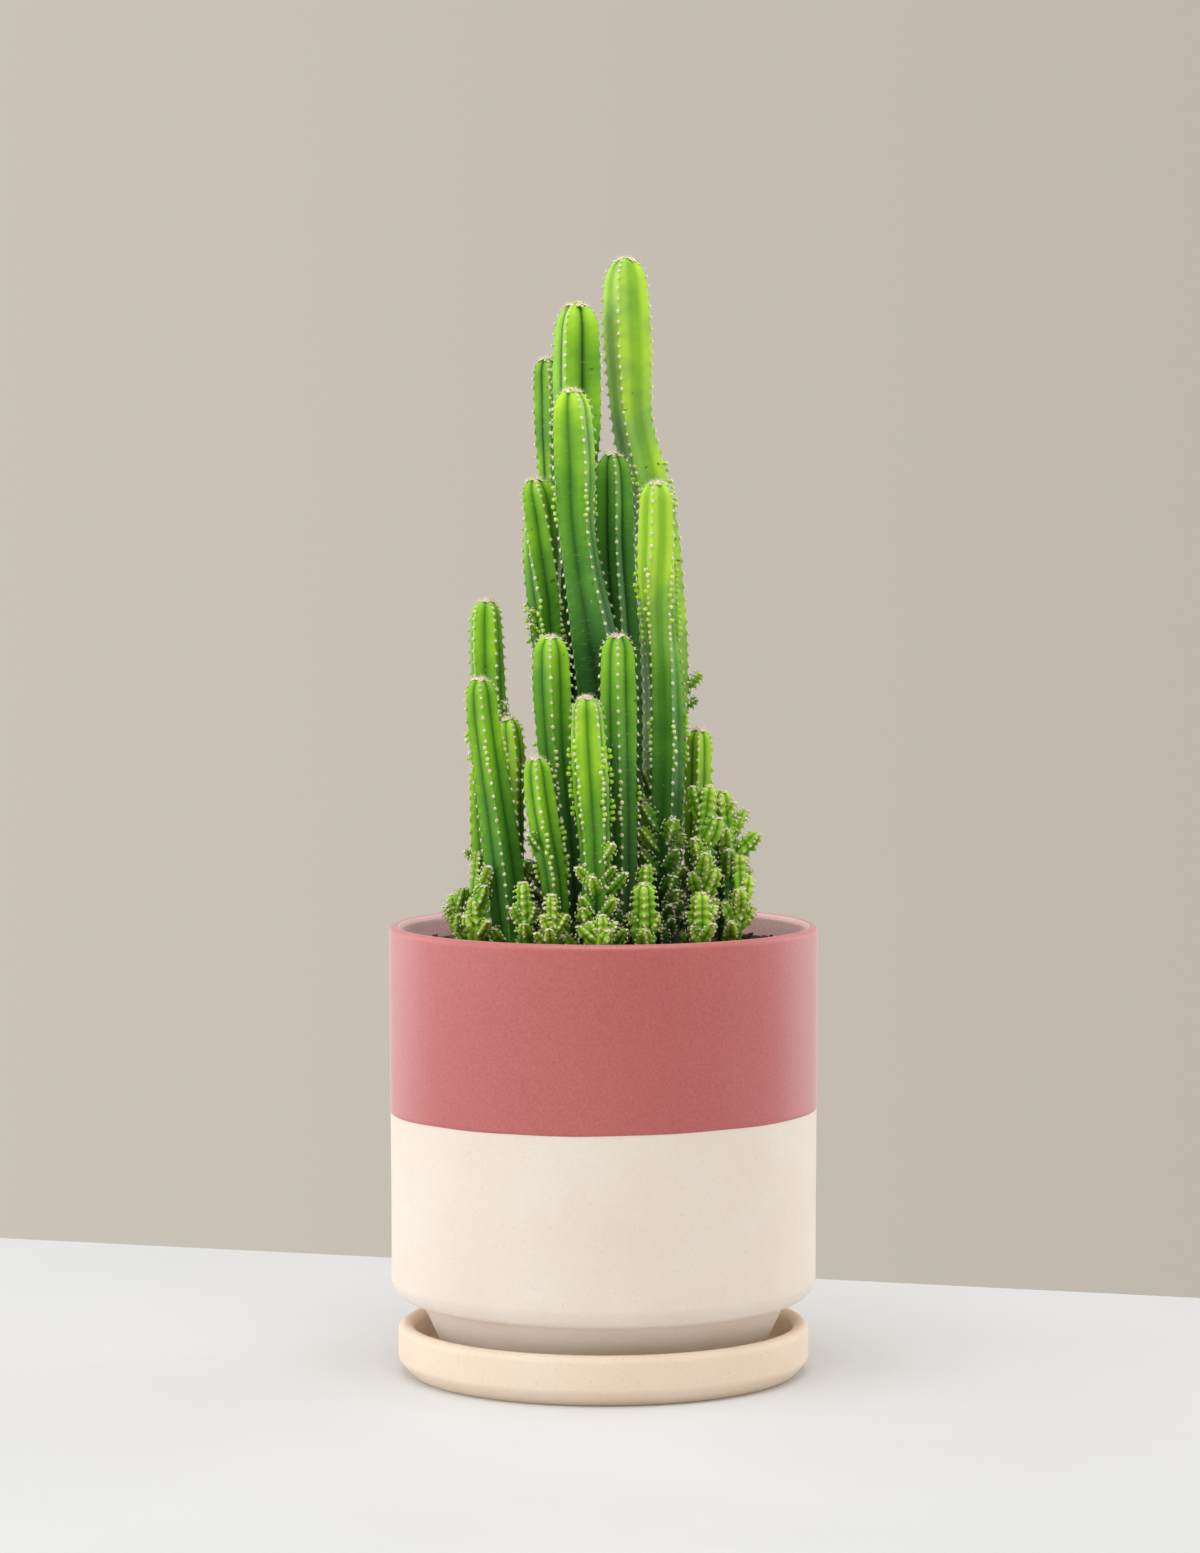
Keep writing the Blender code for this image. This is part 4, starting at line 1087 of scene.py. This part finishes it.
def make_soil(bed, bark, grit):
    """The soil's uneven top with the sides of the filling, and loose bits on it."""
    rng = random.Random(SOIL_SEED)
    rings = 56
    spokes = LATHE_STEPS
    edge = POT_RADIUS - POT_WALL - GAP - 0.1
    waves = []
    for _ in range(SOIL_WAVES):
        waves.append((rng.uniform(0.05, 0.9), rng.uniform(0.05, 0.9), rng.uniform(0, math.tau)))

    def height(x, y, share):
        rough = sum(math.sin(x * a * (1 if k % 2 else -1) + y * b + c) for k, (a, b, c) in enumerate(waves))
        return SOIL_TOP + SOIL_MOUND * (1 - share) + rough * SOIL_ROUGH * (1.0 - share ** 6)

    points = [(0.0, 0.0, height(0, 0, 0))]
    for ring in range(1, rings + 1):
        share = ring / rings
        for spoke in range(spokes):
            turn = math.tau * spoke / spokes
            x = edge * share * math.cos(turn)
            y = edge * share * math.sin(turn)
            points.append((x, y, height(x, y, share) + rng.uniform(*SOIL_LUMPS) * (1 - share ** 8)))
    faces = [(0, 1 + k, 1 + (k + 1) % spokes) for k in range(spokes)]
    for ring in range(rings - 1):
        a = 1 + ring * spokes
        for k in range(spokes):
            n = (k + 1) % spokes
            faces.append((a + k, a + spokes + k, a + spokes + n, a + n))
    outer = 1 + (rings - 1) * spokes
    sides = [(edge, 42.0), (FOOT_TOP_RADIUS - POT_WALL - 4.0, 32.0), (FOOT_RADIUS - POT_WALL - 2.0, 10.9)]
    for x, z in sides:
        start = len(points)
        for spoke in range(spokes):
            turn = math.tau * spoke / spokes
            points.append((x * math.cos(turn), x * math.sin(turn), z))
        for k in range(spokes):
            n = (k + 1) % spokes
            faces.append((outer + k, start + k, start + n, outer + n))
        outer = start
    points.append((0.0, 0.0, sides[-1][1]))
    faces += [(outer + (k + 1) % spokes, outer + k, len(points) - 1) for k in range(spokes)]
    mesh = bpy.data.meshes.new("soil_bed")
    mesh.from_pydata([(x * MM, y * MM, z * MM) for x, y, z in points], [], faces)
    mesh.update()
    mesh.shade_smooth()
    soil = add_object("soil_bed", mesh, [bed])
    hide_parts("soil")
    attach(soil, "root")
    make_bits("soil_bark", bark, 900, (0.5, 1.7), 0.45, edge, height, rng)
    make_bits("soil_grit", grit, 260, (0.3, 0.7), 0.9, edge, height, rng)


def make_bits(name, material, count, sizes, flat, edge, height, rng):
    """Loose chips strewn over the soil, half sunk into it."""
    shape = Shape()
    for _ in range(count):
        share = math.sqrt(rng.uniform(0.0, 0.96))
        turn = rng.uniform(0, math.tau)
        x = edge * share * math.cos(turn)
        y = edge * share * math.sin(turn)
        size = rng.uniform(*sizes)
        spin = rng.uniform(0, math.tau)
        tilt = rng.uniform(-0.6, 0.6)
        long = size * rng.uniform(1.0, 2.2)
        points = []
        for a in (-1, 1):
            for b in (-1, 1):
                for c in (-1, 1):
                    u = a * long * rng.uniform(0.5, 1.0)
                    v = b * size * rng.uniform(0.4, 1.0)
                    w = c * size * flat * rng.uniform(0.5, 1.0) + u * tilt
                    points.append((x + u * math.cos(spin) - v * math.sin(spin),
                                   y + u * math.sin(spin) + v * math.cos(spin),
                                   height(x, y, share) + w + size * flat * 0.4))
        quads = [(0, 1, 3, 2), (4, 6, 7, 5), (0, 4, 5, 1), (2, 3, 7, 6), (0, 2, 6, 4), (1, 5, 7, 3)]
        tris = [t for q in quads for t in ((q[0], q[1], q[2]), (q[0], q[2], q[3]))]
        shape.add(points, tris, 0, 0.0, 0.0)
    bits = shape.build(name, [material])
    bits.data.shade_flat()
    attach(bits, "root")


def make_stage():
    """A pale table top whose far edge runs as in the photograph."""
    left_far = (-0.2488, 0.2899)
    right_far = (0.2279, 0.1456)
    slope = (right_far[1] - left_far[1]) / (right_far[0] - left_far[0])
    wide = 1.6
    near = -2.4
    thick = 0.03
    far = [left_far[1] + slope * (x - left_far[0]) for x in (wide, -wide)]
    outline = [(-wide, near), (wide, near), (wide, far[0]), (-wide, far[1])]
    points = [(x, y, 0.0) for x, y in outline] + [(x, y, -thick) for x, y in outline]
    faces = [(0, 1, 2, 3), (7, 6, 5, 4), (0, 4, 5, 1), (1, 5, 6, 2), (2, 6, 7, 3), (3, 7, 4, 0)]
    mesh = bpy.data.meshes.new("table_top")
    mesh.from_pydata(points, [], faces)
    floor = add_object("table_top", mesh, [table_material()])


BACKDROP_SPAN = 0.12


def make_world():
    """Warm grey behind everything, a little lighter to the left."""
    world = bpy.data.worlds.new("surround")
    bpy.context.scene.world = world
    world.use_nodes = True
    background = world.node_tree.nodes["Background"]
    nodes = world.node_tree.nodes
    link = world.node_tree.links.new
    direction = nodes.new("ShaderNodeTexCoord")
    across = nodes.new("ShaderNodeSeparateXYZ")
    link(direction.outputs["Generated"], across.inputs["Vector"])
    span = nodes.new("ShaderNodeMapRange")
    span.inputs["From Min"].default_value = -BACKDROP_SPAN
    span.inputs["From Max"].default_value = BACKDROP_SPAN
    link(across.outputs["X"], span.inputs["Value"])
    tone = nodes.new("ShaderNodeMix")
    tone.data_type = "RGBA"
    link(span.outputs["Result"], tone.inputs[0])
    tone.inputs[6].default_value = rgb(203, 195, 184)
    tone.inputs[7].default_value = rgb(192, 184, 173)
    link(tone.outputs[2], background.inputs["Color"])
    background.inputs["Strength"].default_value = 1.0


COOL = (0.93, 0.98, 1.06)


def add_light(name, place, aim, size, power):
    data = bpy.data.lights.new(name, "AREA")
    data.shape = "RECTANGLE"
    data.size, data.size_y = size
    data.energy = power
    data.color = COOL
    light = bpy.data.objects.new(name, data)
    light.location = place
    light.rotation_euler = (Vector(aim) - Vector(place)).to_track_quat("-Z", "Y").to_euler()
    bpy.context.scene.collection.objects.link(light)


def make_lights():
    """A light tent: broad panels on both sides, one above and a weak one in front."""
    add_light("left_panel", (-1.15, -0.35, 0.5), (0, 0, 0.15), (1.5, 0.9), 6.4)
    add_light("right_panel", (1.2, 0.0, 0.5), (0, 0, 0.15), (1.2, 0.9), 3.1)
    add_light("top_panel", (0.0, -0.35, 1.2), (0, 0.05, 0.13), (0.9, 0.8), 9)
    add_light("front_panel", (-0.3, -1.9, 0.9), (0, 0, 0.25), (1.0, 0.7), 1.2)
    add_light("left_edge", (-0.85, 0.6, 0.35), (0, 0, 0.15), (0.6, 1.0), 3.4)
    add_light("right_edge", (0.85, 0.6, 0.35), (0, 0, 0.15), (0.6, 1.0), 3.4)


# The camera, fitted to the photograph's 1200 x 1553 frame
CAMERA_DISTANCE = 1.6737
CAMERA_HEIGHT = 0.3145
CAMERA_PITCH = 0.06303
FOCAL_PIXELS = 4803.4
FRAME_HEIGHT = 1553
AXIS_PIXEL_OFFSET = 3.66
SENSOR = 36.0


def make_camera():
    data = bpy.data.cameras.new("camera")
    data.sensor_fit = "VERTICAL"
    data.sensor_height = SENSOR
    data.lens = SENSOR * FOCAL_PIXELS / FRAME_HEIGHT
    data.clip_start = 0.05
    camera = bpy.data.objects.new("camera", data)
    aside = AXIS_PIXEL_OFFSET * CAMERA_DISTANCE / FOCAL_PIXELS
    camera.location = (-aside, -CAMERA_DISTANCE, CAMERA_HEIGHT)
    camera.rotation_euler = (math.pi / 2 - CAMERA_PITCH, 0.0, 0.0)
    bpy.context.scene.collection.objects.link(camera)
    bpy.context.scene.camera = camera


FIRST_STEM_SEED = 500
FIRST_OFFSET_SEED = 900
OFFSET_TURN = 30


def main():
    bpy.context.scene.view_settings.view_transform = "Standard"
    make_camera()
    make_stage()
    make_world()
    make_lights()
    wool = wool_material()
    spine = spine_material()
    # The last colour of each skin is the painted shade at the bottom of its rib valleys
    stem_set = [skin_material("stem_skin", STEM_TONES, rgb(112, 150, 84)), wool, spine]
    deep_shade_set = [skin_material("deep_shade_skin", STEM_TONES, rgb(40, 84, 18)), wool, spine]
    pale_set = [skin_material("pale_skin", PALE_TONES, rgb(196, 214, 168)), wool, spine]
    offset_set = [skin_material("offset_skin", SPROUT_TONES, rgb(120, 156, 92)), wool, spine]
    clay = clay_material("bare_clay", rgb(239, 228, 217), rgb(235, 222, 208), rgb(204, 172, 142))
    dish = clay_material("saucer_clay", rgb(243, 225, 204), rgb(239, 217, 193), rgb(206, 162, 120))
    glaze = glaze_material("pink_glaze", rgb(193, 105, 101), rgb(187, 96, 95))
    # Painted light: the inside glaze is a much paler copy of the pink glaze, standing in for light on the
    # inner wall
    lit_lining = glaze_material("lit_inner_glaze", rgb(255, 206, 207), rgb(253, 196, 199))
    make_pot([clay, glaze, lit_lining])
    make_saucer(dish)
    make_soil(soil_material("soil_bed", rgb(28, 18, 13), rgb(58, 38, 28), rgb(110, 78, 56)),
              soil_material("soil_bark", rgb(50, 30, 20), rgb(92, 60, 42), rgb(150, 110, 78)),
              soil_material("soil_grit", rgb(150, 130, 110), rgb(190, 172, 150), rgb(225, 212, 195)))
    for index, (name, (ribs, valley, twist, rows)) in enumerate(STEMS.items()):
        skins = deep_shade_set if name in DEEP_SHADE_STEMS else pale_set if name in PALE_STEMS else stem_set
        plant_piece(name, rows, ribs, valley, twist, STEM_FORM, FIRST_STEM_SEED + index, skins)
    for index, (name, rows) in enumerate(OFFSETS.items()):
        twist = [(GROUND, OFFSET_TURN * index)]
        plant_piece(name, rows, 5, SHOOT_VALLEY[5], twist, OFFSET_FORM, FIRST_OFFSET_SEED + index, offset_set)


main()
